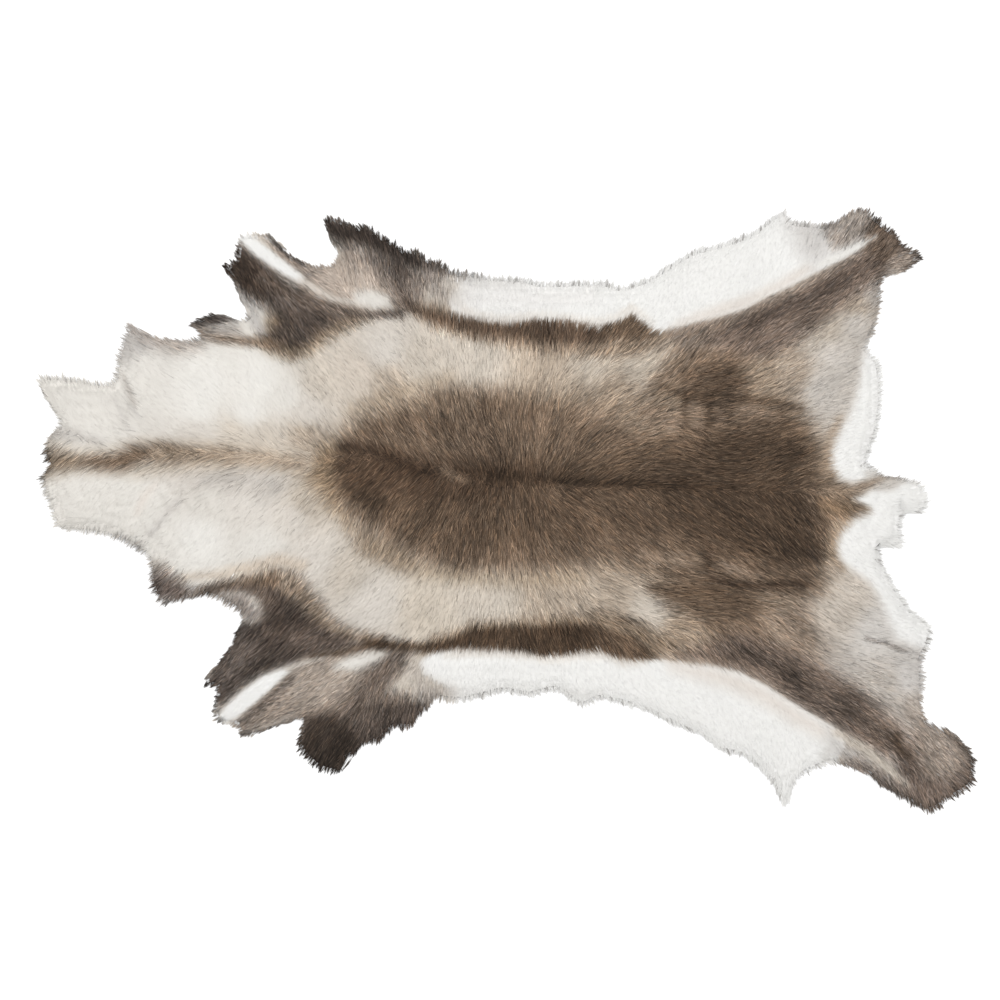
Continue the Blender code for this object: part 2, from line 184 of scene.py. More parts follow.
# ---------------------------------------------------------------- lie of the hair
# columns: place, x, y, direction the tips point in degrees from +X towards +Y
LIE_UPPER = (
    ("neck corner", -0.648, 0.172, 125), ("neck edge", -0.600, 0.172, 118),
    ("neck middle", -0.590, 0.130, 135), ("neck cut", -0.635, 0.115, 165),
    ("above neck stripe", -0.560, 0.100, 160), ("collar edge", -0.540, 0.210, 150),
    ("collar", -0.500, 0.200, 148), ("collar stripe", -0.500, 0.096, 145),
    ("cheek edge", -0.450, 0.235, 155), ("tuft flap", -0.420, 0.260, 165),
    ("shoulder", -0.420, 0.160, 135), ("shoulder stripe", -0.420, 0.090, 165),
    ("shoulder rear", -0.330, 0.130, 125), ("mane rear", -0.320, 0.078, 160),
    ("withers", -0.240, 0.110, 125), ("withers high", -0.270, 0.180, 125),
    ("fore quarter", -0.320, 0.260, 122), ("fore quarter low", -0.250, 0.240, 135),
    ("fore leg dark", -0.350, 0.310, 112), ("hoof end", -0.375, 0.360, 130),
    ("fore leg stripe", -0.310, 0.345, 138), ("fore leg inner", -0.270, 0.320, 150),
    ("elbow", -0.210, 0.350, 105), ("elbow tip", -0.240, 0.395, 120),
    ("elbow fringe", -0.160, 0.360, 100), ("behind elbow", -0.180, 0.280, 132),
    ("armpit fringe", -0.100, 0.330, 92), ("flank front", -0.150, 0.190, 130),
    ("saddle front", -0.140, 0.120, 125), ("saddle front low", -0.100, 0.075, 125),
    ("flank second", -0.080, 0.160, 105), ("saddle second", -0.030, 0.110, 115),
    ("belly front", -0.060, 0.290, 92), ("flank middle", 0.000, 0.200, 88),
    ("saddle middle", 0.020, 0.120, 95), ("saddle middle low", 0.020, 0.065, 90),
    ("belly middle", 0.050, 0.290, 82), ("stripe middle", 0.070, 0.245, 88),
    ("flank third", 0.060, 0.180, 75), ("saddle third", 0.080, 0.100, 65),
    ("flank fourth", 0.110, 0.200, 47), ("stripe fourth", 0.140, 0.240, 55),
    ("saddle fourth", 0.130, 0.130, 42), ("saddle fourth low", 0.130, 0.055, 30),
    ("belly fourth", 0.150, 0.290, 75), ("flank rear", 0.180, 0.200, 22),
    ("flank rear low", 0.200, 0.150, 30), ("loin", 0.200, 0.090, 18),
    ("loin low", 0.250, 0.050, 0), ("loin whorl", 0.268, 0.088, -25),
    ("stripe rear", 0.200, 0.240, 45), ("thigh front", 0.260, 0.230, 48),
    ("thigh", 0.330, 0.250, 42), ("haunch high", 0.300, 0.180, 12),
    ("haunch", 0.340, 0.130, 12), ("croup", 0.400, 0.080, 20),
    ("croup low", 0.450, 0.050, 15), ("thigh rear", 0.420, 0.280, 33),
    ("rump", 0.420, 0.200, 30), ("rump rear", 0.500, 0.190, 22),
    ("rump edge", 0.500, 0.120, 10), ("hind leg", 0.500, 0.340, 40),
    ("hind leg fringe", 0.480, 0.395, 60), ("hock flap", 0.560, 0.352, 15),
    ("hind leg end", 0.540, 0.375, 50), ("belly rear", 0.250, 0.320, 65),
    ("belly last", 0.350, 0.355, 58), ("belly tip", 0.390, 0.400, 70),
    ("tail top", 0.560, 0.030, 15),
)
LIE_LOWER = (
    ("stripe at cut", -0.635, 0.066, 215), ("neck stripe", -0.580, 0.060, 212),
    ("neck stripe rear", -0.530, 0.055, 208), ("neck corner", -0.635, -0.010, 195),
    ("neck middle", -0.590, 0.020, 225), ("neck edge", -0.570, -0.020, 240),
    ("throat", -0.520, 0.000, 228), ("cheek edge", -0.500, -0.090, 215),
    ("cheek", -0.460, -0.100, 225), ("collar", -0.450, 0.020, 215),
    ("collar low", -0.460, -0.040, 225), ("mane", -0.400, 0.055, 195),
    ("shoulder high", -0.370, 0.020, 222), ("shoulder", -0.400, -0.050, 235),
    ("shoulder rear", -0.300, -0.010, 228), ("mane rear", -0.280, 0.050, 205),
    ("withers", -0.240, 0.045, 222), ("withers rear", -0.200, 0.030, 225),
    ("withers low", -0.210, -0.030, 252), ("flank front", -0.250, -0.070, 222),
    ("flank front low", -0.270, -0.140, 218), ("fore quarter", -0.330, -0.110, 250),
    ("fore quarter low", -0.330, -0.160, 228), ("fore leg", -0.380, -0.220, 225),
    ("fore leg end", -0.390, -0.270, 215), ("fore leg inner", -0.320, -0.260, 205),
    ("elbow", -0.250, -0.250, 215), ("elbow tip", -0.250, -0.340, 240),
    ("elbow fringe", -0.170, -0.290, 255), ("armpit fringe", -0.120, -0.260, 262),
    ("armpit", -0.150, -0.210, 235), ("behind elbow", -0.190, -0.170, 222),
    ("flank", -0.140, -0.120, 236), ("saddle front", -0.150, -0.040, 240),
    ("saddle front high", -0.130, 0.030, 225), ("saddle second", -0.070, 0.000, 245),
    ("saddle second low", -0.050, -0.050, 262), ("flank second", -0.070, -0.130, 252),
    ("stripe second", -0.050, -0.180, 258), ("flank middle", 0.000, -0.120, 275),
    ("saddle middle", 0.020, -0.030, 280), ("stripe middle", 0.050, -0.180, 285),
    ("belly front", -0.030, -0.230, 262), ("belly middle", 0.070, -0.230, 285),
    ("flank third", 0.080, -0.120, 300), ("saddle third", 0.100, -0.040, 310),
    ("saddle third high", 0.120, 0.010, 325), ("saddle rear", 0.200, -0.050, 318),
    ("flank fourth", 0.170, -0.130, 335), ("stripe rear", 0.200, -0.185, 316),
    ("flank rear", 0.240, -0.140, 355), ("haunch low", 0.300, -0.130, 355),
    ("loin", 0.300, -0.010, 325), ("croup", 0.400, -0.040, 312),
    ("croup edge", 0.445, -0.040, 310), ("haunch", 0.350, -0.080, 330),
    ("haunch rear", 0.360, -0.130, 348), ("thigh front", 0.300, -0.200, 310),
    ("thigh", 0.360, -0.180, 318), ("thigh rear", 0.400, -0.210, 325),
    ("hind leg", 0.450, -0.260, 332), ("rump", 0.450, -0.150, 328),
    ("rump rear", 0.500, -0.200, 345), ("rump edge", 0.560, -0.200, 350),
    ("rump white", 0.500, -0.070, 330), ("hind leg low", 0.530, -0.310, 325),
    ("hock", 0.600, -0.350, 315), ("hock edge", 0.640, -0.370, 320),
    ("hock lower edge", 0.590, -0.405, 290), ("belly rear", 0.300, -0.290, 305),
    ("belly last", 0.380, -0.340, 285), ("belly tip", 0.390, -0.395, 275),
    ("hind leg white", 0.470, -0.340, 315), ("belly fourth", 0.150, -0.230, 295),
    ("tail root", 0.540, -0.030, 340), ("tail", 0.570, 0.010, 5),
)

# columns: place, x, y, length of the outer hair, share of it that lifts off the skin
HAIR_LENGTHS = (
    ("neck", -0.590, 0.080, 0.032, 0.16), ("shoulder upper", -0.420, 0.150, 0.034, 0.16),
    ("shoulder lower", -0.400, -0.040, 0.034, 0.16), ("withers", -0.200, 0.060, 0.026, 0.26),
    ("saddle", 0.050, 0.040, 0.024, 0.26), ("croup", 0.350, 0.020, 0.024, 0.26),
    ("flank upper", 0.050, 0.190, 0.027, 0.24), ("flank lower", 0.050, -0.120, 0.027, 0.24),
    ("belly upper", 0.100, 0.290, 0.022, 0.06), ("belly lower", 0.100, -0.230, 0.022, 0.06),
    ("belly rear upper", 0.350, 0.360, 0.025, 0.06),
    ("belly rear lower", 0.350, -0.310, 0.025, 0.06),
    ("fore quarter upper", -0.290, 0.260, 0.022, 0.22),
    ("fore quarter lower", -0.290, -0.170, 0.022, 0.22),
    ("fore leg upper", -0.350, 0.350, 0.014, 0.18),
    ("fore leg lower", -0.360, -0.270, 0.014, 0.18),
    ("elbow upper", -0.180, 0.350, 0.021, 0.22), ("elbow lower", -0.200, -0.300, 0.021, 0.22),
    ("thigh upper", 0.400, 0.280, 0.022, 0.22), ("thigh lower", 0.430, -0.240, 0.022, 0.22),
    ("hind leg upper", 0.530, 0.360, 0.017, 0.18), ("hock lower", 0.620, -0.360, 0.018, 0.18),
    ("rump upper", 0.470, 0.150, 0.026, 0.22), ("rump lower", 0.500, -0.150, 0.026, 0.22),
    ("tail", 0.570, 0.010, 0.028, 0.20),
)

# ---------------------------------------------------------------- ground colour of the coat
# columns: place, x, y, colour. Between the places the colours blend into each other.
GROUND = (
    ("neck high", -0.600, 0.140, CHALK), ("neck low", -0.590, 0.015, CHALK),
    ("neck lower edge", -0.580, -0.020, CHALK), ("collar high", -0.510, 0.190, CHALK),
    ("collar edge", -0.530, 0.235, SILVER), ("collar low", -0.510, 0.010, CHALK),
    ("throat", -0.480, -0.060, CHALK), ("shoulder high", -0.420, 0.170, IVORY),
    ("shoulder high rear", -0.345, 0.175, IVORY), ("shoulder low", -0.430, -0.040, IVORY),
    ("shoulder low rear", -0.340, -0.050, CHALK), ("mane high", -0.430, 0.110, OYSTER),
    ("above mane", -0.430, 0.138, IVORY), ("above mane rear", -0.360, 0.138, IVORY),
    ("shoulder end high", -0.310, 0.158, CHALK), ("below mane", -0.420, 0.012, (221, 216, 208)),
    ("below mane rear", -0.360, 0.002, (221, 215, 207)), ("below mane end", -0.300, -0.010, OYSTER),
    ("mane low", -0.430, 0.045, PEARL), ("mane middle high", -0.380, 0.105, OAT),
    ("mane middle", -0.380, 0.050, PEARL), ("mane rear high", -0.340, 0.100, OAT),
    ("mane rear", -0.340, 0.030, PEARL), ("mane end high", -0.280, 0.105, BUFF),
    ("above mane end", -0.280, 0.135, OYSTER), ("mane end low", -0.280, 0.010, SAND),
    ("behind shoulder", -0.260, 0.180, OAT), ("behind shoulder low", -0.270, -0.070, OYSTER),
    ("withers edge low", -0.222, -0.088, OAT), ("flank front", -0.170, 0.222, OYSTER),
    ("flank front high", -0.210, 0.190, (214, 203, 190)),
    ("flank front inner", -0.165, 0.180, (191, 177, 161)), ("flank second", -0.120, 0.205, OAT),
    ("flank front low", -0.190, -0.130, OYSTER), ("flank second low", -0.110, -0.138, (213, 202, 187)),
    ("flank", -0.050, 0.208, OAT), ("flank low", -0.030, -0.128, OAT),
    ("flank third", 0.060, 0.202, (198, 182, 164)), ("flank third low", 0.070, -0.125, BUFF),
    ("flank fourth", 0.120, 0.195, SAND), ("flank rear", 0.185, 0.205, SAND),
    ("flank fourth low", 0.150, -0.132, BUFF), ("flank rear low", 0.200, -0.138, OAT),
    ("loin", 0.150, 0.135, MOUSE), ("loin high", 0.150, 0.165, TAN),
    ("loin rear", 0.230, 0.170, HAZEL), ("haunch", 0.300, 0.180, PEAT),
    ("haunch rear", 0.360, 0.182, FAWN), ("haunch low", 0.300, -0.130, BARK),
    ("haunch front low", 0.250, -0.172, FAWN), ("thigh", 0.300, 0.225, HAZEL),
    ("thigh low", 0.330, -0.178, HAZEL), ("thigh rear low", 0.390, -0.168, (148, 131, 115)),
    ("rump front", 0.400, 0.190, (178, 162, 145)), ("rump", 0.440, 0.170, PEARL),
    ("rump rear", 0.465, 0.215, PEARL), ("rump high", 0.450, 0.260, SAND),
    ("rump low", 0.470, -0.136, (202, 192, 180)), ("rump rear low", 0.520, -0.170, (210, 205, 199)),
    ("rump edge low", 0.568, -0.235, (208, 203, 198)),
    ("rump under", 0.530, -0.245, (188, 180, 171)), ("hind leg inner low", 0.572, -0.278, (192, 182, 172)),
    ("hind leg inner", 0.512, 0.306, (182, 174, 166)), ("hind leg inner front", 0.488, 0.290, BUFF),
    ("rump corner", 0.490, 0.260, PEARL),
)

# Soft-edged areas, painted in this order. columns: area, colour, softness, strength, corners
AREAS = (
    ("saddle skirt", FAWN, 0.026, 0.85, (
        (-0.290, 0.063), (-0.262, 0.080), (-0.234, 0.112), (-0.205, 0.132),
        (-0.170, 0.152), (-0.100, 0.172), (0.000, 0.170), (0.060, 0.172), (0.100, 0.176),
        (0.130, 0.160), (0.180, 0.146), (0.214, 0.166), (0.236, 0.194), (0.270, 0.205),
        (0.345, 0.178), (0.405, 0.150), (0.440, 0.105), (0.462, 0.040),
        (0.500, 0.020), (0.505, 0.000), (0.466, -0.030), (0.462, -0.080), (0.446, -0.116),
        (0.400, -0.130), (0.280, -0.138), (0.210, -0.112), (0.120, -0.090), (0.000, -0.088),
        (-0.080, -0.086), (-0.150, -0.076), (-0.200, -0.054), (-0.215, -0.024),
        (-0.240, 0.004), (-0.262, 0.034))),
    ("withers fuzz, low", FAWN, 0.020, 0.65, (
        (-0.215, -0.010), (-0.160, -0.040), (-0.110, -0.075), (-0.150, -0.084),
        (-0.200, -0.062), (-0.220, -0.036))),
    ("saddle", BARK, 0.020, 0.94, (
        (-0.250, 0.062), (-0.234, 0.090), (-0.222, 0.113), (-0.200, 0.126), (-0.160, 0.138),
        (-0.120, 0.156), (-0.080, 0.170), (0.000, 0.168), (0.050, 0.158), (0.100, 0.146),
        (0.150, 0.124), (0.200, 0.108), (0.240, 0.112), (0.275, 0.150), (0.330, 0.158),
        (0.388, 0.146), (0.418, 0.122), (0.438, 0.085), (0.448, 0.050), (0.470, 0.030),
        (0.490, 0.018), (0.485, 0.000), (0.464, -0.020), (0.450, -0.050), (0.440, -0.088),
        (0.440, -0.112), (0.410, -0.122), (0.340, -0.126), (0.280, -0.120), (0.200, -0.084),
        (0.140, -0.070), (0.060, -0.084), (0.000, -0.086), (-0.070, -0.086),
        (-0.110, -0.068), (-0.150, -0.052), (-0.175, -0.028), (-0.212, -0.010),
        (-0.238, 0.014), (-0.250, 0.040))),
    ("saddle, middle", (95, 79, 65), 0.028, 0.95, (
        (-0.235, 0.062), (-0.100, 0.058), (0.000, 0.066), (0.120, 0.080), (0.250, 0.100),
        (0.410, 0.108), (0.415, 0.040), (0.415, -0.070), (0.330, -0.064), (0.200, -0.040),
        (0.050, -0.055), (-0.080, -0.062), (-0.160, -0.020), (-0.215, 0.020))),
    ("saddle, rear", (80, 66, 54), 0.028, 1.0, (
        (0.230, 0.060), (0.300, 0.105), (0.390, 0.116), (0.420, 0.084), (0.400, 0.030),
        (0.430, -0.020), (0.432, -0.060), (0.400, -0.070), (0.320, -0.060), (0.270, -0.040),
        (0.220, 0.010))),
    ("withers, red brown", (100, 81, 66), 0.018, 0.75, (
        (-0.255, 0.072), (-0.200, 0.072), (-0.130, 0.060), (-0.110, 0.030), (-0.160, 0.026),
        (-0.200, 0.034), (-0.240, 0.046))),
    ("haunch shade, upper", (90, 74, 61), 0.020, 0.85, (
        (0.236, 0.190), (0.265, 0.208), (0.318, 0.208), (0.342, 0.176), (0.326, 0.152),
        (0.254, 0.150))),
    ("haunch shade, lower", PEAT, 0.020, 0.85, (
        (0.200, -0.104), (0.228, -0.134), (0.285, -0.156), (0.350, -0.150), (0.372, -0.122),
        (0.290, -0.092))),
    ("loin shade, upper", (132, 114, 98), 0.018, 0.5, (
        (0.095, 0.140), (0.130, 0.142), (0.170, 0.126), (0.230, 0.128), (0.256, 0.146),
        (0.268, 0.118), (0.120, 0.108))),
    ("saddle front shade", (78, 63, 51), 0.022, 0.85, (
        (-0.235, 0.030), (-0.180, 0.022), (-0.100, 0.008), (-0.040, 0.010), (0.000, 0.028), (0.050, 0.040),
        (0.040, 0.062), (-0.050, 0.070), (-0.100, 0.068), (-0.150, 0.080), (-0.235, 0.082))),
    ("saddle top light", MOUSE, 0.014, 0.6, (
        (-0.140, 0.146), (-0.110, 0.158), (-0.070, 0.158), (-0.045, 0.146), (-0.060, 0.134),
        (-0.110, 0.138))),
    ("withers gold", (154, 131, 105), 0.018, 0.7, (
        (-0.285, 0.048), (-0.258, 0.090), (-0.240, 0.094), (-0.244, 0.060), (-0.236, 0.010),
        (-0.222, -0.024), (-0.250, 0.006))),
    ("fore quarter skirt, upper", (150, 131, 109), 0.014, 0.95, (
        (-0.352, 0.236), (-0.330, 0.220), (-0.302, 0.210), (-0.274, 0.220), (-0.246, 0.243),
        (-0.198, 0.267), (-0.158, 0.285), (-0.220, 0.290), (-0.330, 0.280))),
    ("fore quarter rear, upper", (126, 112, 101), 0.013, 0.95, (
        (-0.290, 0.234), (-0.246, 0.256), (-0.212, 0.267), (-0.180, 0.273), (-0.150, 0.277),
        (-0.148, 0.286), (-0.190, 0.281), (-0.215, 0.287), (-0.246, 0.294), (-0.290, 0.316),
        (-0.300, 0.270))),
    ("fore quarter, upper", CHARCOAL, 0.014, 0.92, (
        (-0.345, 0.244), (-0.322, 0.230), (-0.300, 0.224), (-0.276, 0.234), (-0.262, 0.252),
        (-0.246, 0.268), (-0.256, 0.288), (-0.284, 0.306), (-0.322, 0.334), (-0.350, 0.358),
        (-0.378, 0.378), (-0.405, 0.345), (-0.380, 0.300), (-0.340, 0.286), (-0.322, 0.270),
        (-0.328, 0.256))),
    ("fore leg, upper", (64, 54, 47), 0.012, 1.0, (
        (-0.345, 0.302), (-0.310, 0.305), (-0.330, 0.330), (-0.375, 0.368), (-0.402, 0.342),
        (-0.378, 0.310))),
    ("fore quarter skirt, lower", (140, 123, 106), 0.014, 0.9, (
        (-0.372, -0.096), (-0.326, -0.080), (-0.292, -0.090), (-0.268, -0.120),
        (-0.246, -0.152), (-0.215, -0.170), (-0.175, -0.178), (-0.180, -0.192),
        (-0.310, -0.180), (-0.350, -0.120))),
    ("fore quarter, lower", CHARCOAL, 0.012, 1.0, (
        (-0.372, -0.108), (-0.332, -0.102), (-0.310, -0.116), (-0.292, -0.136),
        (-0.272, -0.156), (-0.246, -0.174), (-0.210, -0.184), (-0.170, -0.185),
        (-0.170, -0.192), (-0.200, -0.193), (-0.227, -0.198), (-0.262, -0.205),
        (-0.285, -0.212), (-0.318, -0.221), (-0.344, -0.231), (-0.373, -0.250),
        (-0.402, -0.278), (-0.430, -0.250), (-0.398, -0.196), (-0.376, -0.162),
        (-0.345, -0.156), (-0.337, -0.140), (-0.345, -0.122))),
    ("fore quarter shade, lower", (74, 64, 57), 0.018, 0.7, (
        (-0.330, -0.120), (-0.300, -0.135), (-0.275, -0.160), (-0.300, -0.185),
        (-0.335, -0.190), (-0.350, -0.160))),
    ("fore quarter light, lower", (108, 95, 86), 0.012, 0.7, (
        (-0.315, -0.172), (-0.270, -0.172), (-0.225, -0.184), (-0.240, -0.196),
        (-0.290, -0.196))),
    ("fore leg light, lower", SLATE, 0.014, 0.8, (
        (-0.398, -0.190), (-0.372, -0.164), (-0.350, -0.200), (-0.375, -0.235),
        (-0.402, -0.255), (-0.408, -0.230))),
    ("elbow, upper", (160, 147, 136), 0.010, 1.0, (
        (-0.345, 0.386), (-0.300, 0.362), (-0.250, 0.342), (-0.235, 0.350), (-0.225, 0.372),
        (-0.160, 0.350), (-0.110, 0.325), (-0.118, 0.290), (-0.150, 0.286), (-0.190, 0.281),
        (-0.215, 0.288), (-0.246, 0.294), (-0.280, 0.312), (-0.325, 0.348))),
    ("elbow light, upper", (194, 180, 167), 0.018, 0.9, (
        (-0.264, 0.345), (-0.235, 0.352), (-0.195, 0.340), (-0.168, 0.300), (-0.200, 0.284),
        (-0.245, 0.298), (-0.268, 0.320))),
    ("elbow pale, upper", CHALK, 0.008, 0.95, (
        (-0.218, 0.290), (-0.212, 0.306), (-0.190, 0.309), (-0.166, 0.300), (-0.160, 0.284),
        (-0.185, 0.280))),
    ("elbow, lower", (160, 147, 135), 0.010, 1.0, (
        (-0.376, -0.318), (-0.300, -0.292), (-0.285, -0.298), (-0.225, -0.290),
        (-0.170, -0.240), (-0.160, -0.200), (-0.227, -0.200), (-0.285, -0.214),
        (-0.320, -0.228), (-0.350, -0.262), (-0.385, -0.300))),
    ("elbow light, lower", (184, 171, 158), 0.018, 0.85, (
        (-0.300, -0.225), (-0.240, -0.212), (-0.200, -0.216), (-0.226, -0.245),
        (-0.256, -0.272), (-0.300, -0.284), (-0.305, -0.256))),
    ("elbow shade, lower", (108, 96, 87), 0.013, 0.92, (
        (-0.285, -0.297), (-0.262, -0.284), (-0.238, -0.276), (-0.219, -0.262),
        (-0.202, -0.240), (-0.184, -0.214), (-0.166, -0.194), (-0.135, -0.190),
        (-0.142, -0.222), (-0.166, -0.252), (-0.132, -0.264), (-0.105, -0.260),
        (-0.110, -0.290), (-0.160, -0.330), (-0.220, -0.380), (-0.270, -0.380),
        (-0.305, -0.330))),
    ("elbow fringe, lower", CHARCOAL, 0.013, 0.75, (
        (-0.225, -0.300), (-0.190, -0.284), (-0.160, -0.274), (-0.120, -0.266),
        (-0.098, -0.264), (-0.115, -0.290), (-0.160, -0.320), (-0.210, -0.345))),
    ("elbow lump, lower", (58, 50, 44), 0.013, 1.0, (
        (-0.282, -0.289), (-0.250, -0.284), (-0.226, -0.298), (-0.205, -0.326),
        (-0.225, -0.380), (-0.270, -0.380), (-0.300, -0.336), (-0.290, -0.316))),
    ("flank stripe skirt, upper", MOUSE, 0.011, 0.9, (
        (-0.124, 0.270), (-0.100, 0.254), (-0.044, 0.238), (0.012, 0.228), (0.068, 0.219),
        (0.113, 0.216), (0.146, 0.214), (0.180, 0.216), (0.214, 0.228), (0.228, 0.248),
        (0.178, 0.285), (0.150, 0.262), (0.000, 0.262), (-0.100, 0.290), (-0.150, 0.290))),
    ("flank stripe, upper", (88, 73, 61), 0.009, 1.0, (
        (-0.140, 0.284), (-0.100, 0.263), (-0.044, 0.246), (0.012, 0.240), (0.068, 0.234),
        (0.113, 0.234), (0.140, 0.238), (0.160, 0.262), (0.120, 0.270), (0.068, 0.280),
        (0.000, 0.270), (-0.085, 0.277), (-0.112, 0.284), (-0.145, 0.293))),
    ("flank stripe rear, upper", PEAT, 0.010, 0.95, (
        (0.130, 0.240), (0.180, 0.238), (0.206, 0.244), (0.200, 0.262), (0.178, 0.290),
        (0.140, 0.275))),
    ("flank stripe skirt, lower", (138, 119, 100), 0.014, 0.85, (
        (-0.104, -0.180), (-0.075, -0.172), (-0.047, -0.160), (0.048, -0.153),
        (0.110, -0.150), (0.135, -0.144), (0.168, -0.150), (0.200, -0.163),
        (0.236, -0.192), (0.200, -0.215), (0.000, -0.205), (-0.120, -0.200))),
    ("flank stripe, lower", SEPIA, 0.008, 1.0, (
        (-0.200, -0.180), (-0.160, -0.184), (-0.120, -0.188), (-0.090, -0.184), (-0.070, -0.176),
        (-0.047, -0.166), (-0.008, -0.163), (0.048, -0.163), (0.093, -0.160),
        (0.118, -0.162), (0.149, -0.172), (0.177, -0.180), (0.196, -0.196), (0.210, -0.210),
        (0.150, -0.220), (0.050, -0.215), (-0.050, -0.205), (-0.120, -0.200),
        (-0.200, -0.194))),
    ("flank stripe rear, lower", PEAT, 0.010, 0.8, (
        (0.125, -0.165), (0.150, -0.172), (0.177, -0.180), (0.200, -0.200), (0.210, -0.212),
        (0.150, -0.215), (0.130, -0.200))),
    ("thigh front, upper", (139, 125, 113), 0.014, 0.9, (
        (0.225, 0.247), (0.244, 0.226), (0.300, 0.226), (0.350, 0.240), (0.350, 0.280),
        (0.332, 0.272), (0.290, 0.260), (0.244, 0.252))),
    ("thigh band, upper", THIGH, 0.015, 0.95, (
        (0.280, 0.240), (0.305, 0.228), (0.335, 0.217), (0.365, 0.213), (0.400, 0.232),
        (0.434, 0.256), (0.466, 0.282), (0.500, 0.308), (0.528, 0.326), (0.545, 0.350),
        (0.505, 0.370), (0.463, 0.342), (0.432, 0.326), (0.401, 0.308), (0.363, 0.290),
        (0.332, 0.270))),
    ("thigh band, lower", THIGH, 0.016, 0.95, (
        (0.240, -0.202), (0.290, -0.186), (0.327, -0.172), (0.383, -0.190),
        (0.419, -0.204), (0.454, -0.226), (0.489, -0.246), (0.518, -0.268),
        (0.539, -0.290), (0.562, -0.310), (0.560, -0.345), (0.525, -0.347),
        (0.496, -0.330), (0.468, -0.310), (0.433, -0.289), (0.397, -0.268),
        (0.362, -0.243), (0.327, -0.225), (0.291, -0.215), (0.240, -0.209))),
    ("white belly, upper", WHITE, 0.003, 1.0, (
        (-0.060, 0.325), (-0.076, 0.305), (-0.082, 0.290), (-0.076, 0.280), (-0.064, 0.274),
        (-0.027, 0.265), (0.001, 0.262), (0.034, 0.267), (0.068, 0.268), (0.085, 0.268),
        (0.102, 0.263), (0.130, 0.258), (0.152, 0.263), (0.166, 0.270), (0.176, 0.275),
        (0.186, 0.269), (0.202, 0.256), (0.214, 0.251), (0.236, 0.255), (0.264, 0.263),
        (0.290, 0.268), (0.332, 0.280), (0.363, 0.298), (0.401, 0.315), (0.432, 0.332),
        (0.463, 0.347), (0.495, 0.366), (0.520, 0.384), (0.510, 0.420), (0.450, 0.430),
        (0.400, 0.430), (0.300, 0.400), (0.100, 0.350), (-0.050, 0.350))),
    ("white belly, lower", WHITE, 0.003, 1.0, (
        (-0.118, -0.230), (-0.122, -0.212), (-0.105, -0.202), (-0.086, -0.198),
        (-0.047, -0.196), (-0.008, -0.197), (0.026, -0.200), (0.048, -0.206),
        (0.076, -0.206), (0.104, -0.200), (0.132, -0.200), (0.160, -0.210),
        (0.177, -0.213), (0.216, -0.209), (0.244, -0.213), (0.272, -0.217),
        (0.291, -0.219), (0.327, -0.227), (0.362, -0.244), (0.397, -0.267),
        (0.433, -0.289), (0.458, -0.304), (0.476, -0.320), (0.470, -0.345),
        (0.450, -0.366), (0.405, -0.440), (0.330, -0.370), (0.150, -0.290),
        (-0.060, -0.290), (-0.085, -0.250))),
    ("belly blush, lower", BLUSH, 0.016, 0.8, (
        (0.225, -0.212), (0.291, -0.221), (0.327, -0.230), (0.362, -0.247),
        (0.397, -0.270), (0.433, -0.293), (0.462, -0.314), (0.440, -0.318),
        (0.400, -0.298), (0.360, -0.272), (0.310, -0.250), (0.265, -0.236),
        (0.230, -0.224))),
    ("belly blush, upper", BLUSH, 0.009, 0.75, (
        (0.225, 0.252), (0.264, 0.263), (0.290, 0.267), (0.332, 0.280), (0.363, 0.297),
        (0.401, 0.316), (0.432, 0.338), (0.420, 0.345), (0.380, 0.320), (0.340, 0.302),
        (0.290, 0.285), (0.240, 0.266))),
    ("white rump, upper", WHITE, 0.009, 1.0, (
        (0.504, 0.235), (0.500, 0.220), (0.494, 0.182), (0.488, 0.157), (0.479, 0.132),
        (0.464, 0.107), (0.454, 0.080), (0.454, 0.060), (0.466, 0.044), (0.488, 0.035),
        (0.507, 0.042), (0.530, 0.048), (0.560, 0.060), (0.560, 0.220), (0.530, 0.240))),
    ("white rump, lower", WHITE, 0.009, 1.0, (
        (0.500, -0.006), (0.484, -0.016), (0.472, -0.024), (0.463, -0.038),
        (0.461, -0.056), (0.468, -0.074), (0.488, -0.087), (0.507, -0.101),
        (0.519, -0.118), (0.528, -0.135), (0.536, -0.158), (0.548, -0.180),
        (0.575, -0.192), (0.600, -0.200), (0.625, -0.160), (0.560, -0.040),
        (0.530, 0.000))),
    ("tail", WHITE, 0.006, 1.0, (
        (0.488, 0.014), (0.510, 0.028), (0.530, 0.040), (0.560, 0.044), (0.605, 0.030),
        (0.605, -0.010), (0.545, -0.060), (0.515, -0.010), (0.506, 0.004))),
    ("hind leg haze, upper", (210, 206, 202), 0.024, 0.95, (
        (0.392, 0.425), (0.398, 0.395), (0.410, 0.362), (0.430, 0.345), (0.452, 0.354),
        (0.460, 0.380), (0.450, 0.410), (0.430, 0.425))),
    ("hind leg fringe, upper", (156, 146, 137), 0.010, 0.95, (
        (0.436, 0.420), (0.446, 0.388), (0.458, 0.364), (0.476, 0.368), (0.504, 0.384),
        (0.520, 0.396), (0.510, 0.428), (0.470, 0.426))),
    ("hind leg end, upper", (92, 78, 67), 0.012, 0.9, (
        (0.500, 0.390), (0.505, 0.360), (0.530, 0.340), (0.550, 0.352), (0.566, 0.368),
        (0.540, 0.400), (0.515, 0.412))),
    ("hind leg flap, upper", (162, 148, 136), 0.010, 0.95, (
        (0.530, 0.344), (0.560, 0.336), (0.590, 0.346), (0.585, 0.360), (0.550, 0.362))),
    ("hind leg low side", (138, 127, 119), 0.012, 0.95, (
        (0.474, -0.356), (0.482, -0.350), (0.500, -0.352), (0.540, -0.374), (0.575, -0.395),
        (0.590, -0.425), (0.540, -0.410), (0.490, -0.378))),
    ("hind leg grey, lower", SILVER, 0.008, 0.8, (
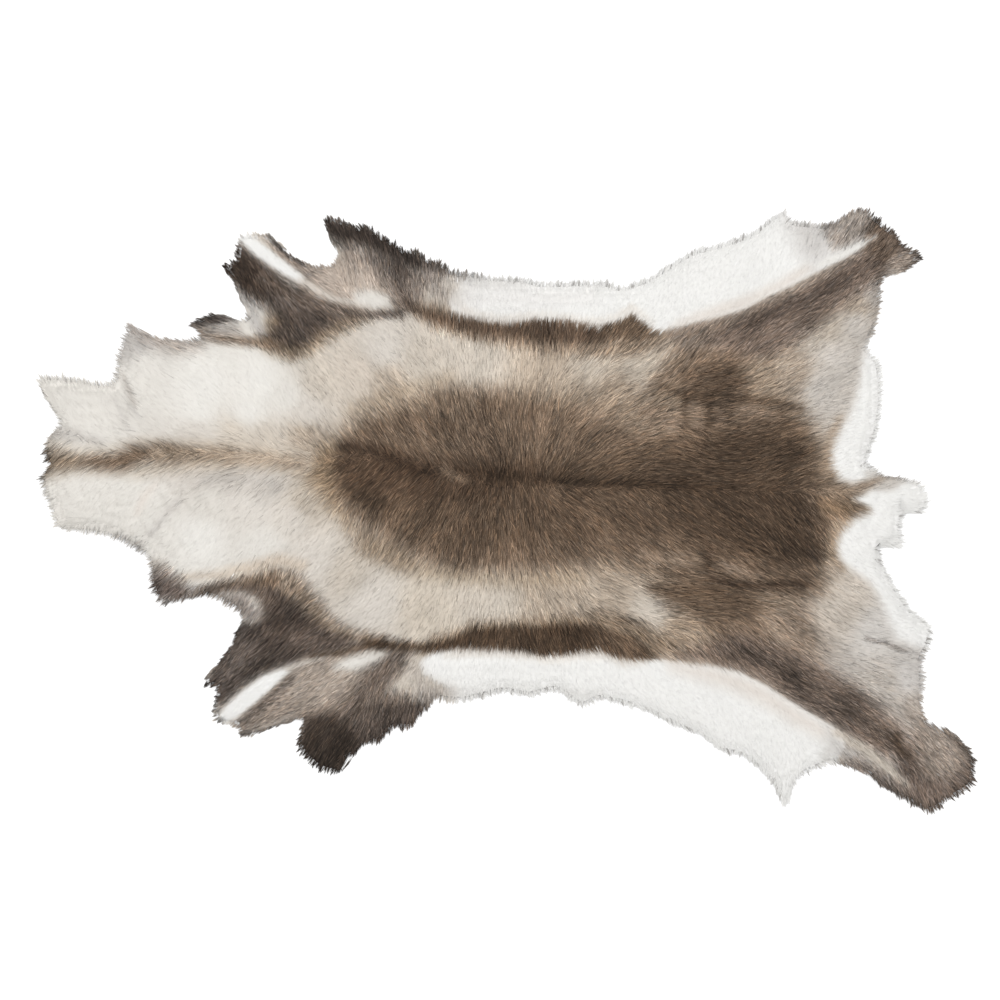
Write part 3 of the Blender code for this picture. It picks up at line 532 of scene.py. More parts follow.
        (0.456, -0.320), (0.470, -0.328), (0.492, -0.342), (0.484, -0.350), (0.464, -0.346))),
    ("hock, lower", (112, 99, 90), 0.014, 1.0, (
        (0.548, -0.335), (0.575, -0.312), (0.600, -0.300), (0.660, -0.330),
        (0.670, -0.380), (0.600, -0.435), (0.560, -0.405), (0.545, -0.365))),
    ("hock light, lower", (166, 153, 141), 0.018, 0.95, (
        (0.562, -0.278), (0.605, -0.292), (0.640, -0.314), (0.655, -0.345),
        (0.622, -0.378), (0.588, -0.372), (0.578, -0.340))),
)

# Soft-edged streaks. columns: streak, colour, softness, strength, points (x, y, half width)
STREAKS = (
    ("neck haze", (186, 180, 174), 0.012, 0.8, (
        (-0.650, 0.104, 0.010), (-0.615, 0.106, 0.008), (-0.570, 0.094, 0.004))),
    ("neck stripe, halo", SAND, 0.014, 0.85, (
        (-0.650, 0.070, 0.030), (-0.600, 0.068, 0.018), (-0.560, 0.068, 0.018),
        (-0.510, 0.072, 0.028), (-0.440, 0.076, 0.022), (-0.350, 0.074, 0.018),
        (-0.290, 0.066, 0.016))),
    ("neck stripe, cut", (142, 125, 107), 0.012, 0.95, (
        (-0.660, 0.070, 0.022), (-0.640, 0.068, 0.014), (-0.600, 0.066, 0.007))),
    ("neck stripe", PEAT, 0.013, 0.95, (
        (-0.590, 0.066, 0.005), (-0.575, 0.066, 0.010), (-0.542, 0.066, 0.012),
        (-0.520, 0.077, 0.013), (-0.500, 0.081, 0.010), (-0.476, 0.081, 0.009),
        (-0.450, 0.078, 0.004))),
    ("neck stripe, middle", FAWN, 0.014, 1.0, (
        (-0.485, 0.078, 0.013), (-0.440, 0.077, 0.012), (-0.390, 0.076, 0.010))),
    ("neck stripe, rear", TAN, 0.012, 0.9, (
        (-0.390, 0.076, 0.009), (-0.340, 0.072, 0.010), (-0.290, 0.064, 0.010))),
    ("thigh core, upper", (90, 78, 70), 0.013, 0.6, (
        (0.320, 0.252, 0.004), (0.369, 0.270, 0.008), (0.420, 0.296, 0.009),
        (0.463, 0.318, 0.010), (0.505, 0.342, 0.010))),
    ("thigh core, lower", (84, 74, 66), 0.013, 0.4, (
        (0.345, -0.206, 0.003), (0.383, -0.222, 0.008), (0.440, -0.254, 0.010),
        (0.500, -0.294, 0.010), (0.540, -0.320, 0.008))),
    ("fore leg white, upper", WHITE, 0.004, 1.0, (
        (-0.368, 0.382, 0.007), (-0.344, 0.363, 0.0095), (-0.310, 0.338, 0.008),
        (-0.290, 0.325, 0.006))),
    ("fore leg pale, upper", OYSTER, 0.006, 0.9, (
        (-0.288, 0.323, 0.004), (-0.266, 0.309, 0.004), (-0.246, 0.297, 0.003),
        (-0.222, 0.293, 0.004))),
    ("fore leg white, lower", WHITE, 0.004, 1.0, (
        (-0.398, -0.292, 0.007), (-0.386, -0.283, 0.011), (-0.362, -0.263, 0.012),
        (-0.335, -0.241, 0.011), (-0.312, -0.227, 0.005))),
    ("fore leg line, lower", OYSTER, 0.005, 0.9, (
        (-0.305, -0.222, 0.003), (-0.280, -0.213, 0.0015), (-0.250, -0.206, 0.001))),
    ("elbow white, lower", CHALK, 0.010, 1.0, (
        (-0.240, -0.220, 0.004), (-0.215, -0.215, 0.012), (-0.188, -0.207, 0.009),
        (-0.172, -0.203, 0.003))),
    ("quarter line rear, lower", SEPIA, 0.006, 0.9, (
        (-0.275, -0.205, 0.002), (-0.235, -0.201, 0.004), (-0.200, -0.194, 0.003),
        (-0.170, -0.189, 0.004))),
    # painted shade in a crease
    ("elbow crease shade, lower", (70, 62, 56), 0.010, 0.9, (
        (-0.222, -0.292, 0.004), (-0.206, -0.283, 0.007), (-0.190, -0.278, 0.004))),
    ("quarter light, upper", (132, 118, 107), 0.014, 0.7, (
        (-0.345, 0.326, 0.004), (-0.305, 0.300, 0.006), (-0.262, 0.284, 0.006))),
    # darker hair tips along the edge, greyed further as painted shade at the rim
    ("belly edge ticks, upper", (122, 112, 104), 0.006, 0.85, (
        (-0.105, 0.342, 0.004), (-0.065, 0.333, 0.004), (-0.030, 0.329, 0.002))),
    ("saddle rim, lower", AMBER, 0.018, 0.5, (
        (-0.195, -0.052, 0.006), (-0.120, -0.088, 0.006), (0.000, -0.102, 0.006),
        (0.100, -0.096, 0.005))),
    ("saddle rim, upper", AMBER, 0.018, 0.45, (
        (-0.215, 0.140, 0.006), (-0.150, 0.166, 0.006), (-0.080, 0.186, 0.005))),
    ("rump side shade, upper", (188, 181, 173), 0.008, 0.3, (
        (0.490, 0.215, 0.003), (0.484, 0.180, 0.004), (0.474, 0.150, 0.003))),
    ("rump rim, upper", (168, 146, 124), 0.010, 0.9, (
        (0.456, 0.044, 0.004), (0.448, 0.062, 0.005), (0.450, 0.095, 0.004),
        (0.466, 0.128, 0.002))),
    ("rump rim, lower", (168, 143, 117), 0.009, 0.75, (
        (0.478, -0.014, 0.003), (0.456, -0.040, 0.003), (0.456, -0.066, 0.003),
        (0.470, -0.082, 0.002))),
    ("fore leg shade, lower", SLATE, 0.007, 0.85, (
        (-0.372, -0.298, 0.003), (-0.345, -0.276, 0.004), (-0.318, -0.252, 0.003),
        (-0.300, -0.234, 0.001))),
    ("fore leg sheen, lower", (100, 89, 81), 0.010, 0.7, (
        (-0.365, -0.225, 0.003), (-0.335, -0.208, 0.006), (-0.300, -0.200, 0.004))),
    ("elbow line, upper", SLATE, 0.006, 0.9, (
        (-0.250, 0.288, 0.002), (-0.225, 0.281, 0.003), (-0.190, 0.273, 0.003),
        (-0.150, 0.275, 0.005))),
    ("elbow fringe, upper", (56, 48, 43), 0.014, 0.95, (
        (-0.256, 0.404, 0.014), (-0.226, 0.390, 0.018), (-0.195, 0.386, 0.018),
        (-0.165, 0.368, 0.017), (-0.140, 0.354, 0.014), (-0.110, 0.344, 0.011),
        (-0.080, 0.338, 0.007), (-0.040, 0.331, 0.004))),
    ("elbow fringe root, upper", SLATE, 0.014, 0.6, (
        (-0.190, 0.356, 0.008), (-0.150, 0.335, 0.010), (-0.105, 0.325, 0.006))),
    ("armpit, upper", CHARCOAL, 0.014, 0.85, (
        (-0.152, 0.345, 0.010), (-0.150, 0.315, 0.008), (-0.138, 0.288, 0.008))),
    ("belly shade, front upper", (166, 154, 145), 0.016, 0.8, (
        (-0.104, 0.330, 0.012), (-0.098, 0.312, 0.008), (-0.084, 0.296, 0.002))),
    ("belly haze, front upper", (204, 196, 187), 0.024, 0.9, (
        (-0.076, 0.318, 0.012), (-0.072, 0.304, 0.012), (-0.066, 0.290, 0.006))),
    ("belly haze, top edge", (216, 212, 207), 0.014, 0.8, (
        (-0.050, 0.320, 0.009), (-0.020, 0.320, 0.006), (0.020, 0.318, 0.001))),
    ("belly haze, long", (228, 225, 222), 0.020, 0.8, (
        (-0.050, 0.298, 0.014), (0.040, 0.298, 0.010), (0.120, 0.300, 0.003))),
    ("belly end haze, lower", (212, 208, 203), 0.016, 0.85, (
        (0.452, -0.308, 0.002), (0.454, -0.332, 0.008), (0.450, -0.354, 0.005))),
    ("belly shade, front lower", (194, 185, 176), 0.016, 0.9, (
        (-0.080, -0.258, 0.008), (-0.110, -0.256, 0.016), (-0.128, -0.232, 0.008), (-0.128, -0.212, 0.003))),
    ("quarter line, upper", HAZEL, 0.009, 0.95, (
        (-0.320, 0.232, 0.006), (-0.358, 0.236, 0.006), (-0.400, 0.240, 0.006),
        (-0.428, 0.248, 0.006))),
    ("cheek line, upper", (142, 130, 121), 0.018, 0.75, (
        (-0.430, 0.234, 0.006), (-0.465, 0.231, 0.010), (-0.500, 0.240, 0.005),
        (-0.530, 0.262, 0.002))),
    ("tuft, upper", (72, 64, 59), 0.009, 0.95, (
        (-0.382, 0.270, 0.003), (-0.410, 0.268, 0.009), (-0.448, 0.262, 0.009))),
    ("tuft low, upper", SMOKE, 0.008, 0.8, (
        (-0.378, 0.254, 0.004), (-0.408, 0.250, 0.006), (-0.430, 0.248, 0.003))),
    ("quarter halo, lower", (212, 196, 178), 0.010, 0.85, (
        (-0.450, -0.094, 0.003), (-0.400, -0.092, 0.006), (-0.360, -0.082, 0.008),
        (-0.320, -0.070, 0.008), (-0.285, -0.078, 0.006))),
    ("quarter line, lower", BARK, 0.009, 0.95, (
        (-0.326, -0.100, 0.008), (-0.370, -0.105, 0.008), (-0.400, -0.109, 0.006),
        (-0.430, -0.114, 0.004))),
    ("cheek halo, lower", (152, 138, 126), 0.012, 0.7, (
        (-0.462, -0.096, 0.005), (-0.480, -0.086, 0.008), (-0.494, -0.078, 0.006))),
    ("cheek, lower", (98, 86, 79), 0.014, 0.95, (
        (-0.436, -0.119, 0.002), (-0.462, -0.115, 0.014), (-0.488, -0.106, 0.018))),
    ("grey patch, upper", SILVER, 0.010, 0.95, (
        (-0.344, 0.251, 0.005), (-0.353, 0.266, 0.009), (-0.356, 0.282, 0.006),
        (-0.382, 0.312, 0.004))),
    ("grey patch, lower", (166, 156, 148), 0.008, 1.0, (
        (-0.408, -0.122, 0.003), (-0.372, -0.131, 0.012), (-0.357, -0.147, 0.010))),
    ("quarter rim, lower", (100, 88, 79), 0.008, 0.95, (
        (-0.334, -0.130, 0.006), (-0.346, -0.114, 0.006), (-0.372, -0.109, 0.005),
        (-0.400, -0.109, 0.004), (-0.428, -0.114, 0.003))),
    ("tail stripe", (158, 138, 118), 0.010, 0.85, (
        (0.454, 0.022, 0.010), (0.472, 0.025, 0.008), (0.495, 0.033, 0.004),
        (0.526, 0.045, 0.002))),
    ("tail stripe, low", (120, 101, 82), 0.010, 0.95, (
        (0.446, 0.004, 0.010), (0.470, 0.000, 0.010), (0.486, 0.000, 0.006),
        (0.502, 0.001, 0.002))),
    ("tail root, top", (186, 176, 166), 0.010, 0.85, (
        (0.520, 0.032, 0.003), (0.538, 0.034, 0.005), (0.552, 0.040, 0.002))),
    # painted shade along the white belly's rim
    ("belly rim shade, upper", (212, 210, 207), 0.012, 0.75, (
        (-0.070, 0.326, 0.004), (0.000, 0.320, 0.003), (0.080, 0.319, 0.002),
        (0.150, 0.316, 0.003), (0.200, 0.322, 0.001))),
    # painted shade along the white belly's rim
    ("belly rim shade rear, upper", (222, 221, 219), 0.012, 0.6, (
        (0.200, 0.326, 0.002), (0.260, 0.360, 0.001), (0.330, 0.384, 0.002),
        (0.385, 0.414, 0.004))),
    # painted shade along the white belly's rim
    ("belly rim shade, lower", (218, 215, 211), 0.012, 0.6, (
        (-0.080, -0.262, 0.006), (-0.020, -0.254, 0.002), (0.060, -0.254, 0.002),
        (0.130, -0.262, 0.003))),
    ("tail root shade", PEARL, 0.006, 0.8, (
        (0.506, 0.052, 0.003), (0.540, 0.047, 0.002), (0.575, 0.038, 0.001))),
    ("belly halo, upper", (222, 212, 200), 0.006, 0.7, (
        (-0.060, 0.281, 0.002), (-0.027, 0.272, 0.002), (0.000, 0.269, 0.002),
        (0.034, 0.274, 0.002), (0.068, 0.275, 0.001), (0.102, 0.268, 0.002),
        (0.130, 0.266, 0.002), (0.152, 0.271, 0.002), (0.176, 0.284, 0.003),
        (0.206, 0.263, 0.001))),
    ("belly halo, lower", (222, 212, 200), 0.006, 0.7, (
        (-0.086, -0.205, 0.002), (-0.047, -0.203, 0.002), (-0.008, -0.204, 0.002),
        (0.026, -0.207, 0.002), (0.060, -0.213, 0.002), (0.104, -0.207, 0.002),
        (0.132, -0.207, 0.002))),
    ("stripe tips, upper", (146, 124, 103), 0.004, 0.4, (
        (-0.064, 0.274, 0.001), (-0.027, 0.265, 0.001), (0.001, 0.262, 0.001),
        (0.034, 0.267, 0.001), (0.068, 0.268, 0.001), (0.102, 0.260, 0.001),
        (0.130, 0.258, 0.001), (0.152, 0.263, 0.001), (0.175, 0.274, 0.0015))),
    ("belly tips, lower", OYSTER, 0.006, 0.8, (
        (0.136, -0.206, 0.002), (0.165, -0.216, 0.004), (0.195, -0.214, 0.002))),
    ("stripe tips, lower", (146, 124, 103), 0.004, 0.4, (
        (-0.086, -0.198, 0.001), (-0.008, -0.197, 0.001), (0.048, -0.206, 0.001),
        (0.076, -0.206, 0.001), (0.104, -0.200, 0.001), (0.132, -0.200, 0.001),
        (0.160, -0.210, 0.001), (0.216, -0.209, 0.0015), (0.272, -0.217, 0.001))),
    # painted shade in a crease
    ("flank crease shade, lower", (84, 69, 57), 0.003, 0.7, (
        (0.160, -0.155, 0.0006), (0.180, -0.1575, 0.001), (0.196, -0.157, 0.0006))),
    ("back line", (62, 50, 40), 0.010, 0.9, (
        (-0.060, 0.053, 0.004), (-0.020, 0.050, 0.008), (0.010, 0.047, 0.008),
        (0.060, 0.042, 0.004), (0.150, 0.037, 0.008), (0.230, 0.034, 0.007),
        (0.300, 0.030, 0.003), (0.370, 0.026, 0.002))),
    ("withers line", (58, 46, 37), 0.013, 0.95, (
        (-0.228, 0.090, 0.005), (-0.188, 0.084, 0.008), (-0.154, 0.070, 0.009),
        (-0.125, 0.057, 0.009), (-0.105, 0.049, 0.006))),
    ("withers line, low", SEPIA, 0.012, 0.7, (
        (-0.225, 0.026, 0.004), (-0.190, 0.012, 0.007), (-0.165, 0.004, 0.003))),
    ("back light", MOUSE, 0.010, 0.5, (
        (-0.092, 0.058, 0.004), (-0.075, 0.048, 0.005), (-0.058, 0.040, 0.003))),
    ("thigh edge light, upper", (160, 146, 134), 0.006, 0.6, (
        (0.236, 0.249, 0.003), (0.270, 0.257, 0.004), (0.310, 0.266, 0.004),
        (0.345, 0.280, 0.003), (0.372, 0.294, 0.001))),
    ("thigh edge light, lower", (160, 146, 134), 0.006, 0.5, (
        (0.315, -0.218, 0.002), (0.345, -0.228, 0.003), (0.380, -0.250, 0.003),
        (0.410, -0.268, 0.001))),
    # Painted light and shade on the raised lumps of the upper haunch: a shadow line along them, lit tops and
    # shade in the valleys between.
    ("whorl ridge shadow, upper", (88, 73, 60), 0.008, 0.85, (
        (0.222, 0.172, 0.004), (0.245, 0.162, 0.006), (0.280, 0.158, 0.007),
        (0.330, 0.157, 0.005), (0.370, 0.151, 0.005), (0.412, 0.142, 0.004))),
    ("whorl highlight, upper", (150, 130, 112), 0.010, 0.9, (
        (0.195, 0.138, 0.008), (0.222, 0.132, 0.012), (0.234, 0.118, 0.008))),
    ("whorl highlight, upper second", (144, 125, 108), 0.006, 0.9, (
        (0.266, 0.140, 0.005), (0.268, 0.122, 0.006))),
    ("whorl highlight, upper third", (134, 115, 99), 0.006, 0.85, (
        (0.299, 0.136, 0.005), (0.301, 0.122, 0.006))),
    ("whorl highlight, upper rear", (140, 122, 106), 0.007, 0.9, (
        (0.323, 0.138, 0.005), (0.345, 0.138, 0.007), (0.376, 0.130, 0.004))),
    ("whorl valley shade, upper first", (88, 73, 60), 0.005, 0.9, (
        (0.250, 0.158, 0.004), (0.251, 0.134, 0.003), (0.251, 0.114, 0.002))),
    ("whorl valley shade, upper second", (80, 66, 54), 0.005, 0.95, (
        (0.284, 0.158, 0.005), (0.284, 0.136, 0.003), (0.282, 0.110, 0.003))),
    ("whorl valley shade, upper third", (92, 77, 64), 0.005, 0.9, (
        (0.314, 0.150, 0.003), (0.315, 0.128, 0.002))),
    # Painted light and shade on the raised lumps of the lower haunch: lit tops, shade in the valleys, and a
    # shadow line and band below them.
    ("whorl highlight, lower", (150, 131, 113), 0.010, 0.9, (
        (0.192, -0.066, 0.008), (0.232, -0.072, 0.012), (0.258, -0.070, 0.009))),
    ("whorl highlight, lower rear", (150, 130, 112), 0.007, 0.9, (
        (0.302, -0.077, 0.005), (0.325, -0.086, 0.009), (0.350, -0.094, 0.003))),
    ("whorl valley shade, lower", (82, 67, 55), 0.006, 0.9, (
        (0.284, -0.045, 0.003), (0.283, -0.088, 0.004))),
    ("whorl ridge shadow, lower", (76, 62, 51), 0.006, 0.9, (
        (0.288, -0.096, 0.003), (0.320, -0.105, 0.004), (0.355, -0.107, 0.004),
        (0.400, -0.103, 0.004), (0.422, -0.106, 0.003))),
    ("haunch shadow band, lower", (100, 83, 68), 0.012, 0.8, (
        (0.205, -0.110, 0.003), (0.238, -0.114, 0.009), (0.275, -0.116, 0.014),
        (0.310, -0.120, 0.008))),
    ("whorl shade, lower rear", SOOT, 0.007, 0.85, (
        (0.424, -0.058, 0.003), (0.434, -0.070, 0.004))),
    ("whorl highlight, last", FAWN, 0.014, 0.7, (
        (0.362, -0.122, 0.006), (0.390, -0.132, 0.007))),
    ("hind leg white line, upper", IVORY, 0.005, 0.95, (
        (0.440, 0.344, 0.004), (0.470, 0.357, 0.0035), (0.495, 0.371, 0.0025),
        (0.516, 0.383, 0.0015))),
    ("hind leg pale, lower", OAT, 0.007, 0.95, (
        (0.462, -0.312, 0.005), (0.500, -0.334, 0.007), (0.532, -0.360, 0.006),
        (0.562, -0.386, 0.003))),
    ("hock dark, lower", SEPIA, 0.008, 0.9, (
        (0.546, -0.318, 0.004), (0.552, -0.338, 0.005), (0.566, -0.346, 0.002))),
    # painted shade in a crease
    ("rump crease, lower", SLATE, 0.004, 0.75, (
        (0.505, -0.181, 0.001), (0.530, -0.186, 0.0015), (0.560, -0.198, 0.001))),
    # painted shade in the neck's creases
    ("neck crease, upper", SMOKE, 0.006, 0.8, (
        (-0.537, 0.188, 0.001), (-0.529, 0.168, 0.002), (-0.521, 0.148, 0.0015))),
    ("neck crease, low end", SILVER, 0.005, 0.8, (
        (-0.526, 0.146, 0.001), (-0.516, 0.130, 0.001))),
    ("neck crease, second", SILVER, 0.006, 0.7, (
        (-0.550, 0.158, 0.001), (-0.541, 0.140, 0.001), (-0.529, 0.113, 0.001))),
    ("neck crease, lower", SILVER, 0.008, 0.8, (
        (-0.500, -0.036, 0.003), (-0.478, -0.010, 0.003), (-0.460, 0.012, 0.002))),
    ("neck fold, lower", BLUSH, 0.008, 0.8, (
        (-0.515, -0.004, 0.003), (-0.505, 0.020, 0.005), (-0.490, 0.036, 0.003))),
)

# Dark hair that lies along the edge itself, and grey lines on light coat that are painted shade
# at the rim over its greyer tips. columns: stretch, colour, softness, strength,
# points (x, y, half width)
EDGE_LINES = (
    # painted shade at the rim over grey hair tips, on light coat
    ("neck cut rim shade, corner", (112, 106, 102), 0.003, 0.9, (
        (-0.654, 0.172, 0.0012), (-0.646, 0.152, 0.0015), (-0.632, 0.132, 0.0015))),
    # painted shade at the rim over grey hair tips, on light coat
    ("throat rim shade", (146, 141, 137), 0.008, 0.9, (
        (-0.545, -0.036, 0.002), (-0.518, -0.054, 0.006), (-0.504, -0.086, 0.007))),
    # painted shade at the rim over grey hair tips, on light coat
    ("collar top rim shade", (162, 154, 147), 0.006, 0.5, (
        (-0.532, 0.262, 0.002), (-0.505, 0.248, 0.002), (-0.470, 0.240, 0.003),
        (-0.436, 0.242, 0.003))),
    # painted shade at the rim over grey hair tips, on light coat
    ("collar side rim shade", (176, 172, 168), 0.005, 0.6, (
        (-0.548, 0.196, 0.001), (-0.545, 0.226, 0.002), (-0.536, 0.256, 0.003))),
    ("elbow fringe end, upper", (106, 97, 90), 0.006, 0.9, (
        (-0.110, 0.342, 0.004), (-0.085, 0.336, 0.004), (-0.060, 0.331, 0.002))),
    ("neck cut, stripe end", (58, 52, 46), 0.006, 0.95, (
        (-0.650, 0.090, 0.004), (-0.646, 0.076, 0.005), (-0.644, 0.060, 0.003),
        (-0.652, 0.046, 0.003))),
    # painted shade at the rim over grey hair tips, on light coat
    ("neck cut, low", (150, 146, 142), 0.004, 0.8, (
        (-0.652, 0.040, 0.002), (-0.645, 0.015, 0.002), (-0.638, -0.004, 0.0015))),
    ("fore leg tip, upper", (44, 38, 34), 0.006, 0.9, (
        (-0.398, 0.342, 0.004), (-0.385, 0.332, 0.003))),
    ("fore leg cut, upper", (48, 44, 42), 0.0035, 0.95, (
        (-0.334, 0.384, 0.0015), (-0.310, 0.360, 0.0020), (-0.286, 0.344, 0.0010))),
    ("hind leg tips, upper", (66, 57, 51), 0.006, 0.8, (
        (0.503, 0.424, 0.003), (0.525, 0.404, 0.003), (0.548, 0.386, 0.004),
        (0.560, 0.366, 0.003))),
    ("hind leg flap tips, upper", (60, 52, 46), 0.004, 0.9, (
        (0.566, 0.364, 0.002), (0.584, 0.352, 0.002), (0.556, 0.336, 0.0015))),
    # dark hair tips, darkened further as painted shade at the rim
    ("hock tips, lower", (80, 71, 64), 0.006, 0.8, (
        (0.625, -0.320, 0.002), (0.653, -0.343, 0.003), (0.658, -0.375, 0.003),
        (0.640, -0.400, 0.004), (0.600, -0.422, 0.005), (0.560, -0.402, 0.003),
        (0.510, -0.374, 0.001))),
    ("fore leg tips, lower", (60, 54, 49), 0.005, 0.9, (
        (-0.424, -0.240, 0.004), (-0.410, -0.262, 0.003), (-0.412, -0.286, 0.003),
        (-0.400, -0.298, 0.002))),
    ("fore leg cut, lower", (70, 63, 58), 0.004, 0.9, (
        (-0.378, -0.316, 0.002), (-0.340, -0.310, 0.0015), (-0.300, -0.294, 0.0015))),
    ("cheek cut, lower", (74, 67, 62), 0.004, 0.9, (
        (-0.490, -0.132, 0.003), (-0.450, -0.126, 0.002), (-0.420, -0.120, 0.001))),
    ("fore leg side, lower", (62, 55, 50), 0.006, 0.85, (
        (-0.374, -0.150, 0.002), (-0.382, -0.176, 0.003), (-0.405, -0.214, 0.004))),
    # painted shade at the rim over grey hair tips, on light coat
    ("rump rim shade tips, upper", (140, 136, 132), 0.003, 0.8, (
        (0.504, 0.064, 0.002), (0.530, 0.050, 0.002), (0.570, 0.040, 0.001))),
)

# Places where the coat ends inside the solid's edge, or outside it where the depth is below
# nought. columns: place, x, y, reach, depth
EDGE_TRIMS = (
    ("hock, top", 0.610, -0.302, 0.028, 0.0130), ("hock, side", 0.660, -0.350, 0.025, 0.0015),
    ("hind leg underside", 0.515, -0.378, 0.022, 0.0045),
    ("hind leg hollow, lower", 0.450, -0.355, 0.020, -0.0055),
    ("hind leg back, upper", 0.540, 0.390, 0.020, 0.0030),
    ("hind leg flap, upper", 0.570, 0.338, 0.014, -0.0040),
    ("hind leg front, upper", 0.470, 0.405, 0.014, 0.0040),
    ("elbow lump", -0.218, -0.352, 0.018, 0.0040), ("elbow hollow", -0.296, -0.292, 0.014, 0.0040),
    ("elbow hollow, rear", -0.170, -0.320, 0.014, 0.0020),
    ("fore leg side, lower", -0.388, -0.190, 0.022, 0.0030),
    ("fore leg corner, lower", -0.424, -0.241, 0.012, -0.0060),
    ("fore leg tip, lower", -0.404, -0.294, 0.012, -0.0030),
    ("fore leg side, upper", -0.386, 0.318, 0.020, 0.0030),
    ("fore leg front, upper", -0.310, 0.366, 0.022, 0.0025),
    ("collar top", -0.505, 0.256, 0.022, 0.0060), ("tuft under", -0.438, 0.252, 0.012, 0.0045),
    ("neck cut, upper", -0.650, 0.105, 0.018, -0.0080),
    ("neck cut, lower", -0.650, 0.020, 0.025, -0.0030),
    ("neck top", -0.600, 0.185, 0.030, -0.0015), ("neck low", -0.600, -0.035, 0.030, -0.0025),
    ("elbow fringe, upper", -0.185, 0.388, 0.022, 0.0030),
    ("grey patch, lower", -0.372, -0.134, 0.018, -0.0030),
    ("collar side", -0.552, 0.210, 0.025, -0.0030), ("tail side", 0.604, 0.010, 0.018, -0.0030),
    ("tail under", 0.590, -0.018, 0.012, -0.0050), ("rump corner", 0.600, -0.160, 0.020, -0.0040),
    ("rump side", 0.594, -0.220, 0.030, -0.0020), ("rump upper", 0.520, 0.170, 0.040, -0.0020),
    ("belly front lower", -0.085, -0.262, 0.020, -0.0025),
    ("belly front upper", -0.010, 0.330, 0.035, -0.0020),
)


# ---------------------------------------------------------------- fields over the hide
class Field:
    """A value held at evenly spaced points over the hide, read between them in proportion."""

    def __init__(self, low, high, step):
        self.low = np.array(low)
        self.step = step
        self.nx = int(math.ceil((high[0] - low[0]) / step)) + 1
        self.ny = int(math.ceil((high[1] - low[1]) / step)) + 1
        xs = low[0] + step * np.arange(self.nx)
        ys = low[1] + step * np.arange(self.ny)
        self.x, self.y = np.meshgrid(xs, ys)

    def read(self, values, x, y):
        """Each reading is the four values round the place, weighted by nearness."""
        fx = np.clip((x - self.low[0]) / self.step, 0, self.nx - 1.001)
        fy = np.clip((y - self.low[1]) / self.step, 0, self.ny - 1.001)
        ix = fx.astype(int)
        iy = fy.astype(int)
        tx = fx - ix
        ty = fy - iy
        if values.ndim == 3:
            tx = tx[..., None]
            ty = ty[..., None]
        near = values[iy, ix] * (1 - tx) + values[iy, ix + 1] * tx
        far = values[iy + 1, ix] * (1 - tx) + values[iy + 1, ix + 1] * tx
        return near * (1 - ty) + far * ty

    def window(self, points, margin):
        """The part of the field that lies within a margin of the given points."""
        pts = np.array([p[:2] for p in points])
        low = np.floor((pts.min(0) - margin - self.low) / self.step).astype(int)
        high = np.ceil((pts.max(0) + margin - self.low) / self.step).astype(int) + 1
        low = np.maximum(low, 0)
        return slice(low[1], max(high[1], low[1])), slice(low[0], max(high[0], low[0]))


def smooth_step(t):
    """0 below 0, 1 above 1 and an even S between."""
    t = np.clip(t, 0.0, 1.0)
    return t * t * (3.0 - 2.0 * t)


def rows_as_arrays(table):
    """The places of a table, and the numbers that follow them."""
    return [row[1:3] for row in table], np.array([row[3:] for row in table])


def away_from_run(x, y, p, q):
    """Distance from the straight run p to q, and how far along it the nearest point is."""
    dx = q[0] - p[0]
    dy = q[1] - p[1]
    t = np.clip(((x - p[0]) * dx + (y - p[1]) * dy) / max(TINY, dx * dx + dy * dy), 0, 1)
    return np.hypot(x - p[0] - t * dx, y - p[1] - t * dy), t


def within_loop(x, y, loop):
    """Signed distance from a closed loop: above 0 inside it, below 0 outside. A point is
    inside where a line from it towards +X crosses the loop an odd number of times."""
    best = np.full(x.shape, 1e9)
    inside = np.zeros(x.shape, dtype=bool)
    for p, q in zip(loop, np.roll(loop, -1, axis=0)):
        best = np.minimum(best, away_from_run(x, y, p, q)[0])
        rise = q[1] - p[1]
        if abs(rise) > TINY:
            at = p[0] + (y - p[1]) * (q[0] - p[0]) / rise
            inside ^= ((p[1] > y) != (q[1] > y)) & (x < at)
    return np.where(inside, best, -best)


def trim_of_edge(x, y):
    """How far inside the solid's edge the coat ends: a rounded bump about each place in the
    table, as deep as it says and fading over its reach."""
    trim = np.zeros(np.shape(x))
    for _, cx, cy, reach, depth in EDGE_TRIMS:
        trim += depth * np.exp(-((x - cx) ** 2 + (y - cy) ** 2) / reach ** 2)
    return trim


def blend_places(x, y, places, values, reach):
    """Values at named places, each weighted by one over the square of (its distance squared,
    in reaches, plus 0.15), so that no place outweighs the rest without limit."""
    total = np.zeros(x.shape)
    mixed = np.zeros(x.shape + (values.shape[1],))
    for place, value in zip(places, values):
        away = ((x - place[0]) ** 2 + (y - place[1]) ** 2) / reach ** 2
        weight = 1.0 / (away + 0.15) ** 2
        total += weight
        mixed += weight[..., None] * value
    return mixed / total[..., None]


# ---------------------------------------------------------------- reading the solid
def solid_mesh():
    """Corner points and triangles of the hide's solid, with shared corners joined."""
    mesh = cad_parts["hide"].data
    mesh.calc_loop_triangles()
    co = np.empty(len(mesh.vertices) * 3, dtype=np.float64)
    mesh.vertices.foreach_get("co", co)
    tri = np.empty(len(mesh.loop_triangles) * 3, dtype=np.int32)
    mesh.loop_triangles.foreach_get("vertices", tri)
    co = co.reshape(-1, 3)
    tri = tri.reshape(-1, 3)
    _, first, back = np.unique(np.round(co, 6), axis=0, return_index=True, return_inverse=True)
    return co[first], back.reshape(-1)[tri]


def free_edges(faces):
    """The edges of a set of triangles that belong to one triangle only."""
    edges = np.concatenate([faces[:, [0, 1]], faces[:, [1, 2]], faces[:, [2, 0]]])
    _, back, count = np.unique(np.sort(edges, axis=1), axis=0, return_inverse=True,
                               return_counts=True)
    return edges[count[back.reshape(-1)] == 1]


